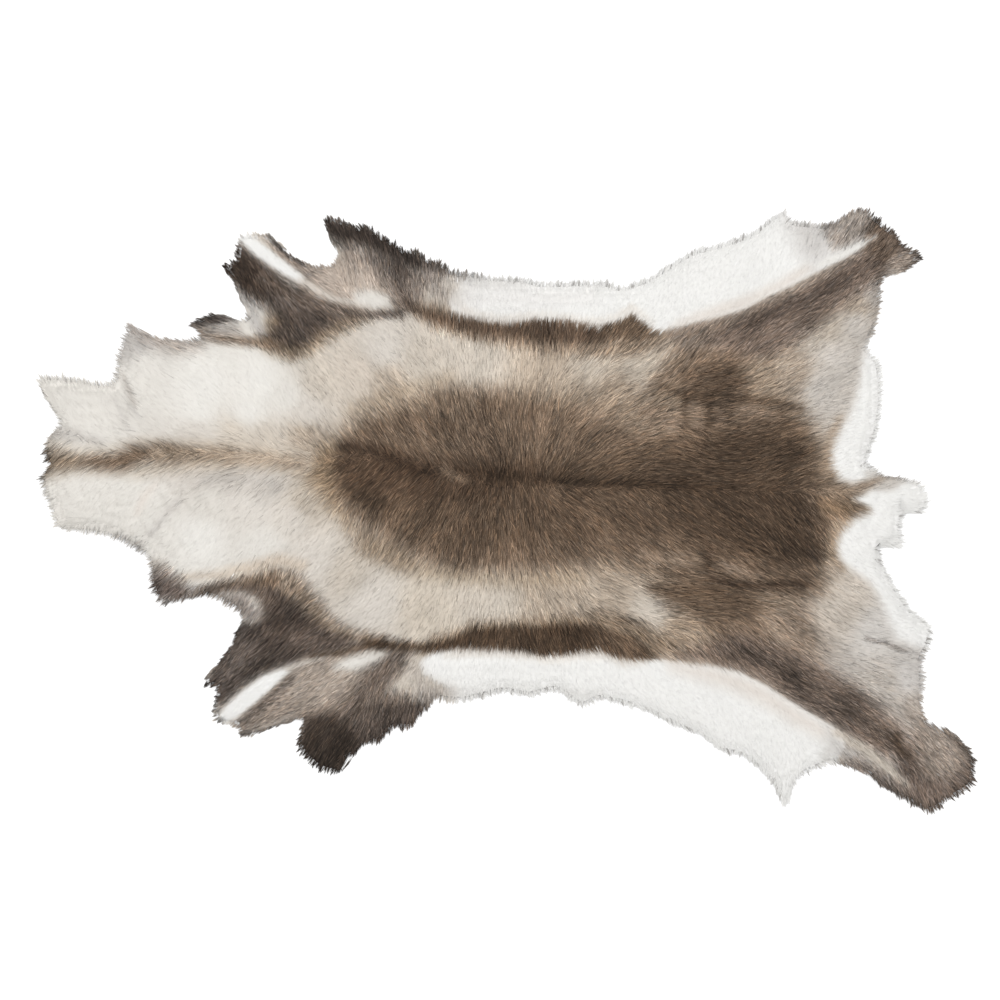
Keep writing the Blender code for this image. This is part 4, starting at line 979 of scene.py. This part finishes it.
def rim_loop(co, tri):
    """The edge of the flat underside, walked round once."""
    rim = free_edges(tri[np.abs(co[tri][:, :, 2]).max(axis=1) < FLAT])
    following = dict(rim.tolist())
    start = int(rim[0, 0])
    loop = [start]
    while following[loop[-1]] != start:
        loop.append(following[loop[-1]])
    return co[loop][:, :2]


def coat_heights(field, co, tri):
    """Height of the solid's upper side at each field point: the plane of the triangle over
    it, and the highest where two meet. Each triangle fills its own part of the field."""
    height = np.zeros(field.x.shape)
    corners = co[tri]
    up = np.cross(corners[:, 1] - corners[:, 0], corners[:, 2] - corners[:, 0])[:, 2]
    top = corners[(np.abs(up) > TINY) & (corners[:, :, 2].max(axis=1) > FLAT)]
    for a, b, c in top:
        rows, cols = field.window((a, b, c), 0.0)
        x = field.x[rows, cols]
        y = field.y[rows, cols]
        area = (b[0] - a[0]) * (c[1] - a[1]) - (c[0] - a[0]) * (b[1] - a[1])
        if abs(area) < TINY or x.size == 0:
            continue
        s = ((x - a[0]) * (c[1] - a[1]) - (c[0] - a[0]) * (y - a[1])) / area
        t = ((b[0] - a[0]) * (y - a[1]) - (x - a[0]) * (b[1] - a[1])) / area
        hit = (s > -1e-6) & (t > -1e-6) & (s + t < 1 + 1e-6)
        z = a[2] + s * (b[2] - a[2]) + t * (c[2] - a[2])
        height[rows, cols] = np.where(hit, np.maximum(height[rows, cols], z), height[rows, cols])
    return height


# ---------------------------------------------------------------- lie, length and colour
def parting_height(x):
    """Y of the parting at each x, read along its points."""
    line = np.array(PARTING)
    return np.interp(x, line[:, 0], line[:, 1])


def lie_of_hair(field):
    """Unit direction of the tips: each side of the parting has its own places, and the two
    sides blend into each other across it."""
    sides = []
    for table in (LIE_UPPER, LIE_LOWER):
        places, degrees = rows_as_arrays(table)
        angles = np.radians(degrees[:, 0])
        values = np.stack([np.cos(angles), np.sin(angles)], axis=1)
        sides.append(blend_places(field.x, field.y, places, values, LIE_REACH))
    above = field.y - parting_height(field.x) + PARTING_BLEND / 2
    share = smooth_step(above / PARTING_BLEND)[..., None]
    lie = sides[0] * share + sides[1] * (1 - share)
    return lie / np.maximum(1e-6, np.linalg.norm(lie, axis=2, keepdims=True))


def hair_measures(field):
    """Length and lift of the outer hair, blended from the places in the table."""
    places, values = rows_as_arrays(HAIR_LENGTHS)
    return blend_places(field.x, field.y, places, values, MEASURE_REACH)


def lay_over(paint, window, inside, colour, soft, strength):
    """Mix a colour over part of the paint: none of it one softness outside the edge, half at
    the edge, and all of its strength one softness inside."""
    share = strength * smooth_step(inside / (2 * soft) + 0.5)[..., None]
    paint[window] += share * (np.array(colour) / 255.0 - paint[window])


def paint_coat(field):
    """Ground colours blended between their places, then areas and streaks laid over them
    with soft edges. A streak's half width changes evenly from point to point."""
    places = [row[1:3] for row in GROUND]
    values = np.array([row[3] for row in GROUND]) / 255.0
    paint = blend_places(field.x, field.y, places, values, GROUND_REACH)
    for _, colour, soft, strength, corners in AREAS:
        window = field.window(corners, soft)
        inside = within_loop(field.x[window], field.y[window], np.array(corners))
        lay_over(paint, window, inside, colour, soft, strength)
    for _, colour, soft, strength, points in STREAKS + EDGE_LINES:
        window = field.window(points, max(p[2] for p in points) + soft)
        x = field.x[window]
        y = field.y[window]
        inside = np.full(x.shape, -1e9)
        for p, q in zip(points, points[1:]):
            away, t = away_from_run(x, y, p, q)
            inside = np.maximum(inside, p[2] + t * (q[2] - p[2]) - away)
        lay_over(paint, window, inside, colour, soft, strength)
    return paint


def combed_noise(field, lie, rng, coarse, reach):
    """Random values drawn out along the lie of the hair: the sum of the noise met on a walk
    of the given reach both ways, scaled to a spread of 1."""
    noise = rng.standard_normal((field.ny // coarse + 2, field.nx // coarse + 2))
    grain = Field(field.low, field.low + np.array([field.nx, field.ny]) * field.step,
                  field.step * coarse)
    noise = np.resize(noise, (grain.ny, grain.nx))
    total = grain.read(noise, field.x, field.y)
    for way in (-1.0, 1.0):
        x = field.x.copy()
        y = field.y.copy()
        for _ in range(int(reach / NOISE_WALK)):
            d = field.read(lie, x, y)
            x = x + way * NOISE_WALK * d[..., 0]
            y = y + way * NOISE_WALK * d[..., 1]
            total = total + grain.read(noise, x, y)
    return total / total.std()


# ---------------------------------------------------------------- meshes
def to_linear(colour):
    """sRGB to linear light."""
    return np.where(colour <= 0.04045, colour / 12.92, ((colour + 0.055) / 1.055) ** 2.4)


def add_piece(name, co, faces, material, smooth, colours=None, uv=None):
    """A new object from arrays of points, faces of equal size and point colours."""
    mesh = bpy.data.meshes.new(name)
    sides = faces.shape[1]
    mesh.vertices.add(len(co))
    mesh.vertices.foreach_set("co", co.astype(np.float32).ravel())
    mesh.loops.add(faces.size)
    mesh.loops.foreach_set("vertex_index", faces.astype(np.int32).ravel())
    mesh.polygons.add(len(faces))
    mesh.polygons.foreach_set("loop_start", np.arange(0, faces.size, sides, dtype=np.int32))
    mesh.update(calc_edges=True)
    mesh.polygons.foreach_set("use_smooth", np.full(len(faces), smooth))
    if colours is not None:
        layer = mesh.color_attributes.new("coat", "BYTE_COLOR", "POINT")
        rgba = np.ones((len(co), 4), dtype=np.float32)
        rgba[:, :3] = to_linear(np.clip(colours, 0, 1)) * COAT_SHARE
        layer.data.foreach_set("color", rgba.ravel())
    if uv is not None:
        layer = mesh.uv_layers.new(name=BAKE_LAYER)
        layer.data.foreach_set("uv", uv[faces.ravel()].astype(np.float32).ravel())
    mesh.validate()
    piece = bpy.data.objects.new(name, mesh)
    bpy.context.scene.collection.objects.link(piece)
    mesh.materials.append(material)
    return piece


def grid_within(field, within, inset, step):
    """A square grid of points and triangles over the hide. Points just outside the inset
    line move onto it in three passes, along the slope of the distance from the edge."""
    xs = np.arange(field.low[0] + GRID_CLEAR,
                   field.low[0] + field.nx * field.step - GRID_CLEAR, step)
    ys = np.arange(field.low[1] + GRID_CLEAR,
                   field.low[1] + field.ny * field.step - GRID_CLEAR, step)
    x, y = np.meshgrid(xs, ys)
    deep = field.read(within, x, y) > inset
    cell = deep[:-1, :-1] | deep[1:, :-1] | deep[:-1, 1:] | deep[1:, 1:]
    h = field.step
    for _ in range(3):
        d = field.read(within, x, y)
        gx = (field.read(within, x + h, y) - field.read(within, x - h, y)) / (2 * h)
        gy = (field.read(within, x, y + h) - field.read(within, x, y - h)) / (2 * h)
        size = np.maximum(0.3, np.hypot(gx, gy))
        move = np.where(deep, 0.0, np.clip(inset - d, -step, step)) / size
        x = x + move * gx / size
        y = y + move * gy / size
    cols = x.shape[1]
    row, col = np.nonzero(cell)
    a = row * cols + col
    faces = np.concatenate([
        np.stack([a, a + 1, a + cols + 1], axis=1),
        np.stack([a, a + cols + 1, a + cols], axis=1),
    ])
    used, faces = np.unique(faces, return_inverse=True)
    return x.ravel()[used], y.ravel()[used], faces.reshape(-1, 3)


def closed_sheet(x, y, top, bottom, faces):
    """Top and bottom copies of the triangles, joined by a wall along the free edges."""
    count = len(x)
    co = np.concatenate([np.stack([x, y, top], 1), np.stack([x, y, bottom], 1)])
    rim = free_edges(faces)
    wall = np.concatenate([
        np.stack([rim[:, 1], rim[:, 0], rim[:, 0] + count], axis=1),
        np.stack([rim[:, 1], rim[:, 0] + count, rim[:, 1] + count], axis=1),
    ])
    return co, np.concatenate([faces, faces[:, ::-1] + count, wall])


# ---------------------------------------------------------------- locks of hair
def turn_by(direction, angle):
    """Directions turned by their own angles."""
    c = np.cos(angle)
    s = np.sin(angle)
    return np.stack([direction[:, 0] * c - direction[:, 1] * s,
                     direction[:, 0] * s + direction[:, 1] * c], axis=1)


def coat_places(field, within, fringe, rng):
    """Lock tips on a shaken square grid over the hide. Along the edge they stop short of it
    or pass it by an uneven amount, part of it shared by neighbours, so the end is ragged."""
    xs = np.arange(field.low[0], field.low[0] + field.nx * field.step, LOCK_SPACING)
    ys = np.arange(field.low[1], field.low[1] + field.ny * field.step, LOCK_SPACING)
    x, y = np.meshgrid(xs, ys)
    x = x.ravel() + rng.uniform(-0.5, 0.5, x.size) * LOCK_SPACING
    y = y.ravel() + rng.uniform(-0.5, 0.5, y.size) * LOCK_SPACING
    ragged = smooth_step(0.5 + 0.40 * field.read(fringe, x, y))
    ragged = 0.6 * ragged + 0.4 * rng.uniform(0, 1, x.size)
    keep = field.read(within, x, y) > EDGE_RAGGED * (ragged - 0.80)
    return np.stack([x[keep], y[keep]], axis=1)


def edge_places(field, within, layers, loop, rng):
    """Lock tips past the edge, one lock every few millimetres along it, and where each
    points: along the lie of the hair swung outwards, never less than 0.4 of it outwards.
    Dark hair reaches further than light hair, and few locks reach the full distance."""
    run = np.linalg.norm(np.roll(loop, -1, axis=0) - loop, axis=1)
    along = np.concatenate([[0.0], np.cumsum(run)])
    count = int(along[-1] / EDGE_LOCK_SPACING)
    at = (np.arange(count) + rng.uniform(0, 1, count)) * EDGE_LOCK_SPACING
    ring = np.concatenate([loop, loop[:1]])
    x = np.interp(at, along, ring[:, 0])
    y = np.interp(at, along, ring[:, 1])
    h = EDGE_PROBE
    out = np.stack([field.read(within, x - h, y) - field.read(within, x + h, y),
                    field.read(within, x, y - h) - field.read(within, x, y + h)], axis=1)
    out /= np.maximum(1e-6, np.linalg.norm(out, axis=1, keepdims=True))
    trim = trim_of_edge(x, y)
    x = x - out[:, 0] * trim
    y = y - out[:, 1] * trim
    toward = out * 0.45 + field.read(layers["lie"], x, y)
    facing = (toward * out).sum(axis=1, keepdims=True)
    toward += out * np.maximum(0.0, 0.40 - facing)
    toward /= np.linalg.norm(toward, axis=1, keepdims=True)
    toward = turn_by(toward, rng.normal(0.0, math.radians(EDGE_TURN), count))
    light = field.read(layers["paint"], x - EDGE_COLOUR_INSET * out[:, 0],
                       y - EDGE_COLOUR_INSET * out[:, 1]).mean(axis=1)
    dark = 1.0 - smooth_step((light - 0.45) / 0.35)
    reach = EDGE_TIP_LIGHT + (EDGE_TIP_DARK - EDGE_TIP_LIGHT) * dark
    reach = (EDGE_LEAST_LIGHT - EDGE_LEAST_LESS * dark
             + reach * rng.uniform(0.0, 1.0, count) ** 1.5)
    return np.stack([x, y], axis=1) + toward * reach[:, None], toward


def spread_of(limits, depth):
    """A spread that grows with the depth of the coat's colour."""
    return limits[0] + limits[1] * depth


def comb_locks(field, layers, place, toward, style, rng):
    """Every hair is a kite of two triangles: a point at the root, a narrow middle and a point
    at the tip. The hair runs back from the tip of its lock along the lie. Its root sits in
    the underwool, its middle just under the top of the coat and its tip close to it. Dark
    coat is looser and more varied than light coat. Returns the four points and four colours
    of each hair, and the place of its lock along the back."""
    n = len(place)
    k = style["hairs"]
    m = n * k
    lock = np.repeat(np.arange(n), k)
    size = field.read(layers["measures"], place[:, 0], place[:, 1])
    length = style["length"] * size[lock, 0] * rng.uniform(*LOCK_LENGTHS, n)[lock]
    length = length * rng.uniform(*SINGLE_LENGTHS, m)

    d = toward[lock]
    side = np.stack([-d[:, 1], d[:, 0]], axis=1)
    across_root = rng.uniform(-1, 1, m) * style["root_spread"]
    across_tip = rng.uniform(-1, 1, m) * style["tip_spread"]
    behind = rng.uniform(0, style["behind"], m) * length
    tip = place[lock] - d * behind[:, None] + side * across_tip[:, None]
    mid = (tip - d * (MIDDLE_BACK * length)[:, None]
           + side * (MIDDLE_ACROSS * across_root)[:, None])
    e = ROOT_LIE * field.read(layers["lie"], mid[:, 0], mid[:, 1]) + (1 - ROOT_LIE) * d
    root = (mid - e * (ROOT_BACK * length)[:, None]
            + side * (ROOT_ACROSS * across_root)[:, None])

    shake = (rng.uniform(-1, 1, n)[lock] * COLOUR_SHAKE * length)[:, None]
    spot = tip - d * (style["colour_from"] * length)[:, None] - d * shake
    spot_back = spot - d * (COLOUR_BACK * length)[:, None]
    base = field.read(layers["paint"], spot[:, 0], spot[:, 1])
    base_back = field.read(layers["paint"], spot_back[:, 0], spot_back[:, 1])
    light = base.mean(axis=1)
    depth = 1.0 - smooth_step((light - 0.45) / 0.45)
    grain = 1.0 - smooth_step((light - 0.50) / 0.37)

    chance = rng.uniform(0, 1, m)
    pale = chance > 1.0 - PALE_HAIRS * depth ** 2
    deep = chance < DEEP_HAIRS * grain
    single = pale | deep
    loose = LOOSE_LEAST + (1 - LOOSE_LEAST) * depth
    rise = (rng.normal(0.0, LOCK_RISE, n)[lock] + rng.normal(0.0, HAIR_RISE, m)) * loose
    rise = rise + SINGLE_RISE * single
    top_tip = field.read(layers["height"], tip[:, 0], tip[:, 1])
    top_mid = field.read(layers["height"], mid[:, 0], mid[:, 1])
    top_root = field.read(layers["height"], root[:, 0], root[:, 1])
    z_tip = np.maximum(TIP_LEAST, np.maximum(top_tip, TIP_COAT) - TIP_SUNK + rise)
    sunk = np.where(single, MIDDLE_SUNK, MIDDLE_SUNK + MIDDLE_SUNK_DARK * depth)
    z_mid = np.maximum(MIDDLE_LEAST,
                       np.maximum(top_mid, INNER_COAT) - sunk + rise * MIDDLE_RISE)
    z_root = np.maximum(top_root, INNER_COAT) - size[lock, 1] * length
    z_root = np.minimum(np.clip(z_root, ROOT_LEAST, None), z_mid - ROOT_UNDER)

    width = np.where(single, FINE_HAIR_WIDTH, rng.uniform(*HAIR_WIDTHS, m))
    half = 0.5 * HAIR_WIDTH * width
    roll = rng.normal(0.0, ROLL_SPREAD, m) * loose
    flat = side * (half * np.cos(roll))[:, None]
    tall = half * np.sin(roll)
    left = np.concatenate([mid + flat, np.maximum(z_mid + tall, SIDE_LEAST)[:, None]], axis=1)
    right = np.concatenate([mid - flat, np.maximum(z_mid - tall, SIDE_LEAST)[:, None]], axis=1)
    root = np.concatenate([root, z_root[:, None]], axis=1)
    tip = np.concatenate([tip, z_tip[:, None]], axis=1)

    tone = rng.normal(0.0, 1.0, n)[lock] * spread_of(LOCK_TONE, depth)
    tone = tone + rng.normal(0.0, 1.0, m) * spread_of(HAIR_TONE, depth)
    for layer, limits in (("streak", STREAK_TONE), ("blotch", BLOTCH_TONE)):
        tone = tone + field.read(layers[layer], spot[:, 0], spot[:, 1]) * spread_of(limits, depth)
    tone = tone + np.where(pale, rng.uniform(*PALE_LIFT, m) * (1.0 - light), 0.0)
    tone = tone - np.where(deep, rng.uniform(*DEEP_DROP, m), 0.0)
    warm = (rng.normal(0.0, 1.0, n) * WARM_SPREAD)[lock] * depth
    tint = np.stack([1 + warm, np.ones(m), 1 - warm], axis=1) * (1.0 + tone)[:, None]
    # In the edge style, light locks go part way to grey, partly grey tips and partly painted shade at the
    # rim, and dark coat is darkened as painted shade at the rim
    grey_tip_and_shade = np.where(rng.uniform(0, 1, n) < style["grey_tip_and_shade"], rng.uniform(*GREY_TIP_AND_SHADE_SHARE, n), 0.0)
    grey_tip_and_shade = (grey_tip_and_shade[lock] * (1.0 - depth))[:, None]
    grey = np.array(RIM_GREY_AND_SHADE) / 255.0
    darken = (1.0 - style["darken"] * depth)[:, None]
    darken = darken * (LIGHT_COAT_SHARE + (1.0 - LIGHT_COAT_SHARE) * depth)[:, None]
    shade = (base + (grey - base) * grey_tip_and_shade) * tint * darken
    shade_back = (base_back + (grey - base_back) * grey_tip_and_shade) * tint * darken
    dark = depth[:, None]
    # Roots and middles are darker, painted shade deep in the coat
    root_colour = shade_back * (ROOT_SHADE[0] - ROOT_SHADE[1] * dark)
    mid_colour = shade_back * (1.0 - MIDDLE_SHADE * dark)
    tip_colour = shade * (1.0 + TIP_GLEAM * dark * rng.uniform(0, 1, m)[:, None] ** 2)
    points = np.stack([root, left, right, tip], axis=1)
    colours = np.stack([root_colour, mid_colour, mid_colour, tip_colour], axis=1)
    return points, np.clip(colours, 0.0, 1.0), place[lock, 0]


def build_hair(field, layers, within, loop, rng):
    """The whole coat: locks all over, and a fringe of pointed locks round the edge."""
    fringe = combed_noise(field, layers["lie"], rng, 2, 0.010)
    place = coat_places(field, within, fringe, rng)
    toward = field.read(layers["lie"], place[:, 0], place[:, 1])
    toward = turn_by(toward, rng.normal(0.0, math.radians(COAT_TURN), len(place)))
    coat = comb_locks(field, layers, place, toward, COAT_STYLE, rng)
    place, toward = edge_places(field, within, layers, loop, rng)
    edge = comb_locks(field, layers, place, toward, EDGE_STYLE, rng)
    return [np.concatenate(pair) for pair in zip(coat, edge)]


def add_fur(name, hairs, colours, material):
    """One stretch of the outer hair: each hair's four points make two triangles. The map
    lays the stretch out flat, scaled to fit a square."""
    first = np.arange(len(hairs))[:, None] * 4
    faces = np.concatenate([first + np.array([[0, 2, 1]]), first + np.array([[1, 2, 3]])])
    points = hairs.reshape(-1, 3)
    span = points.max(0) - points.min(0)
    uv = (points[:, :2] - points.min(0)[:2]) / max(span[0], span[1])
    return add_piece(name, points, faces, material, True, colours.reshape(-1, 3), uv)


# ---------------------------------------------------------------- materials
class Socket:
    """A shader value that can be subtracted and multiplied, one Math node each time."""

    def __init__(self, tree, socket):
        self.tree = tree
        self.socket = socket

    def math(self, operation, other, swap=False):
        """One Math node on this value and another, in either order."""
        node = self.tree.nodes.new("ShaderNodeMath")
        node.operation = operation
        for place, value in zip((1, 0) if swap else (0, 1), (self, other)):
            if isinstance(value, Socket):
                self.tree.links.new(value.socket, node.inputs[place])
            else:
                node.inputs[place].default_value = value
        return Socket(self.tree, node.outputs[0])

    def __sub__(self, other):
        return self.math("SUBTRACT", other)

    def __rsub__(self, other):
        return self.math("SUBTRACT", other, True)

    def __mul__(self, other):
        return self.math("MULTIPLY", other)

    def __rmul__(self, other):
        return self.math("MULTIPLY", other, True)

    def limit(self):
        """Held between 0 and 1."""
        return self.math("MINIMUM", 1.0).math("MAXIMUM", 0.0)


class Shader:
    """One material with a Principled node."""

    def __init__(self, name):
        self.material = bpy.data.materials.new(name)
        self.material.use_nodes = True
        self.tree = self.material.node_tree
        self.main = self.tree.nodes["Principled BSDF"]

    def put(self, socket, value):
        """Link a value to a socket, or set the socket to a number or colour."""
        if isinstance(value, Socket):
            self.tree.links.new(value.socket, socket)
        else:
            socket.default_value = value

    def node(self, kind, settings=None, inputs=None, output=0):
        """Any node, by type, settings and inputs."""
        made = self.tree.nodes.new(kind)
        for key, value in (settings or {}).items():
            setattr(made, key, value)
        for key, value in (inputs or {}).items():
            self.put(made.inputs[key], value)
        return Socket(self.tree, made.outputs[output])

    def mix(self, share, a, b):
        """Two colours by a Mix node."""
        made = self.tree.nodes.new("ShaderNodeMix")
        made.data_type = "RGBA"
        self.put(made.inputs[0], share)
        self.put(made.inputs[6], a)
        self.put(made.inputs[7], b)
        return Socket(self.tree, made.outputs[2])

    def set(self, name, value):
        """Give one of the Principled node's sockets a value."""
        self.put(self.main.inputs[name], value)


def fur_material(name, roughness):
    """Colour from the piece's own points."""
    shader = Shader(name)
    shader.set("Base Color", shader.node("ShaderNodeAttribute", {"attribute_name": "coat"}))
    shader.set("Roughness", roughness)
    shader.set("Specular IOR Level", 0.08)
    return shader.material


def skin_material():
    """Pale suede with cloudy tone, darker along branching veins, and a fine nap."""
    shader = Shader("tanned_skin")
    place = shader.node("ShaderNodeTexCoord", output=3)
    cloud = shader.node("ShaderNodeTexNoise", inputs={"Vector": place, "Scale": 7.0,
                                                      "Detail": 4.0})
    veins = shader.node("ShaderNodeTexNoise", {"noise_type": "RIDGED_MULTIFRACTAL"},
                        {"Vector": place, "Scale": 9.0, "Detail": 3.0})
    nap = shader.node("ShaderNodeTexNoise", inputs={"Vector": place, "Scale": 420.0,
                                                    "Detail": 2.0})
    pale = shader.mix(cloud, (0.56, 0.49, 0.38, 1), (0.74, 0.69, 0.60, 1))
    share = (veins - 0.9).limit() * 0.35
    shader.set("Base Color", shader.mix(share, pale, (0.45, 0.36, 0.27, 1)))
    shader.set("Roughness", 0.92)
    shader.set("Specular IOR Level", 0.2)
    shader.set("Normal", shader.node("ShaderNodeBump", inputs={
        "Height": nap, "Strength": 0.35, "Distance": 0.0006}))
    return shader.material


def floor_material():
    """Plain pale matt floor."""
    shader = Shader("studio_floor")
    shader.set("Base Color", (0.93, 0.93, 0.93, 1))
    shader.set("Roughness", 0.9)
    shader.set("Specular IOR Level", 0.0)
    return shader.material


# ---------------------------------------------------------------- studio
def add_object(name, data):
    """An object for a lamp or the camera, put in the scene."""
    holder = bpy.data.objects.new(name, data)
    bpy.context.scene.collection.objects.link(holder)
    return holder


def add_stage():
    """Pale floor, soft light from all round, two broad lamps turned to the middle of the
    hide, and a camera straight above."""
    bpy.ops.mesh.primitive_plane_add(size=FLOOR_SIZE, location=(0, 0, -FLOOR_DROP))
    floor = bpy.context.object
    floor.name = "studio_floor"
    floor.data.materials.append(floor_material())
    world = bpy.data.worlds.new("studio")
    world.use_nodes = True
    sky = world.node_tree.nodes["Background"]
    sky.inputs["Color"].default_value = (1, 1, 1, 1)
    sky.inputs["Strength"].default_value = 1.0
    bpy.context.scene.world = world
    for name, where, size, power in LAMPS:
        lamp = bpy.data.lights.new(name, "AREA")
        lamp.size = size
        lamp.energy = power
        holder = add_object(name, lamp)
        holder.location = where
        holder.rotation_euler = (0.0, math.atan2(math.hypot(*where[:2]), where[2]),
                                 math.atan2(where[1], where[0]))
    camera = bpy.data.cameras.new("camera")
    camera.lens = CAMERA_LENS
    camera.clip_end = 20.0
    holder = add_object("camera", camera)
    high = CAMERA_WIDTH * CAMERA_LENS / camera.sensor_width + CAMERA_ABOVE
    holder.location = (*CAMERA_CENTRE, high)
    bpy.context.scene.camera = holder
    bpy.context.scene.view_settings.view_transform = "Standard"


# ---------------------------------------------------------------- build
def build_skin(field, within):
    """The tanned skin, a flat sheet 2 mm thick. Its flat size is the box of its own mesh, and
    its flat area the sum of its upper triangles. Returns the piece, width, length and area."""
    x, y, faces = grid_within(field, within, SKIN_INSET, SKIN_GRID)
    points, shell = closed_sheet(x, y, np.full(len(x), SKIN_THICKNESS), np.zeros(len(x)), faces)
    skin = add_piece("hide_skin", points, shell, skin_material(), False)
    length, width, _ = points.max(axis=0) - points.min(axis=0)
    corner = points[faces]
    span = np.cross(corner[:, 1] - corner[:, 0], corner[:, 2] - corner[:, 0])
    return skin, float(width), float(length), float(0.5 * np.abs(span[:, 2]).sum())


def build_wool(field, within, layers, material):
    """The underwool: a closed sheet whose top follows the coat, further down where the coat is
    dark, and whose colour is a little darker than the coat over it."""
    x, y, faces = grid_within(field, within, WOOL_INSET, WOOL_GRID)
    colours = field.read(layers["paint"], x, y)
    light = smooth_step((colours.mean(axis=1) - 0.5) / 0.4)
    drop = WOOL_DROP_DARK + (WOOL_DROP_LIGHT - WOOL_DROP_DARK) * light
    tops = np.maximum(field.read(layers["height"], x, y) - drop, WOOL_LEAST)
    colours = np.tile(colours * (0.80 + 0.18 * light)[:, None], (2, 1))
    points, shell = closed_sheet(x, y, tops, np.full(len(x), WOOL_FLOOR), faces)
    return add_piece("underwool", points, shell, material, True, colours)


def build():
    rng = np.random.default_rng(7)
    co, tri = solid_mesh()
    loop = rim_loop(co, tri)
    field = Field(loop.min(axis=0) - FIELD_MARGIN, loop.max(axis=0) + FIELD_MARGIN, FIELD_STEP)
    within = within_loop(field.x, field.y, loop) - trim_of_edge(field.x, field.y)
    lie = lie_of_hair(field)
    layers = {"height": coat_heights(field, co, tri), "lie": lie,
              "measures": hair_measures(field), "paint": paint_coat(field)}
    fine = combed_noise(field, lie, rng, 1, 0.012)
    broad = combed_noise(field, lie, rng, 4, 0.030)
    layers["streak"] = 0.6 * fine + 0.6 * broad
    layers["blotch"] = combed_noise(field, lie, rng, 9, 0.020)

    coat = fur_material("reindeer_coat", 0.75)
    dull = fur_material("underwool", 0.95)
    skin, width, length, flat_area = build_skin(field, within)
    wool = build_wool(field, within, layers, dull)
    hairs, colours, along = build_hair(field, layers, within, loop, rng)
    hair_pieces = [wool]
    for name, start, end in STRETCHES:
        part = (along >= start) & (along < end)
        hair_pieces.append(add_fur(name, hairs[part], colours[part], coat))

    for piece in [skin] + hair_pieces:
        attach(piece, "root")
    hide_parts("hide")


build()
add_stage()
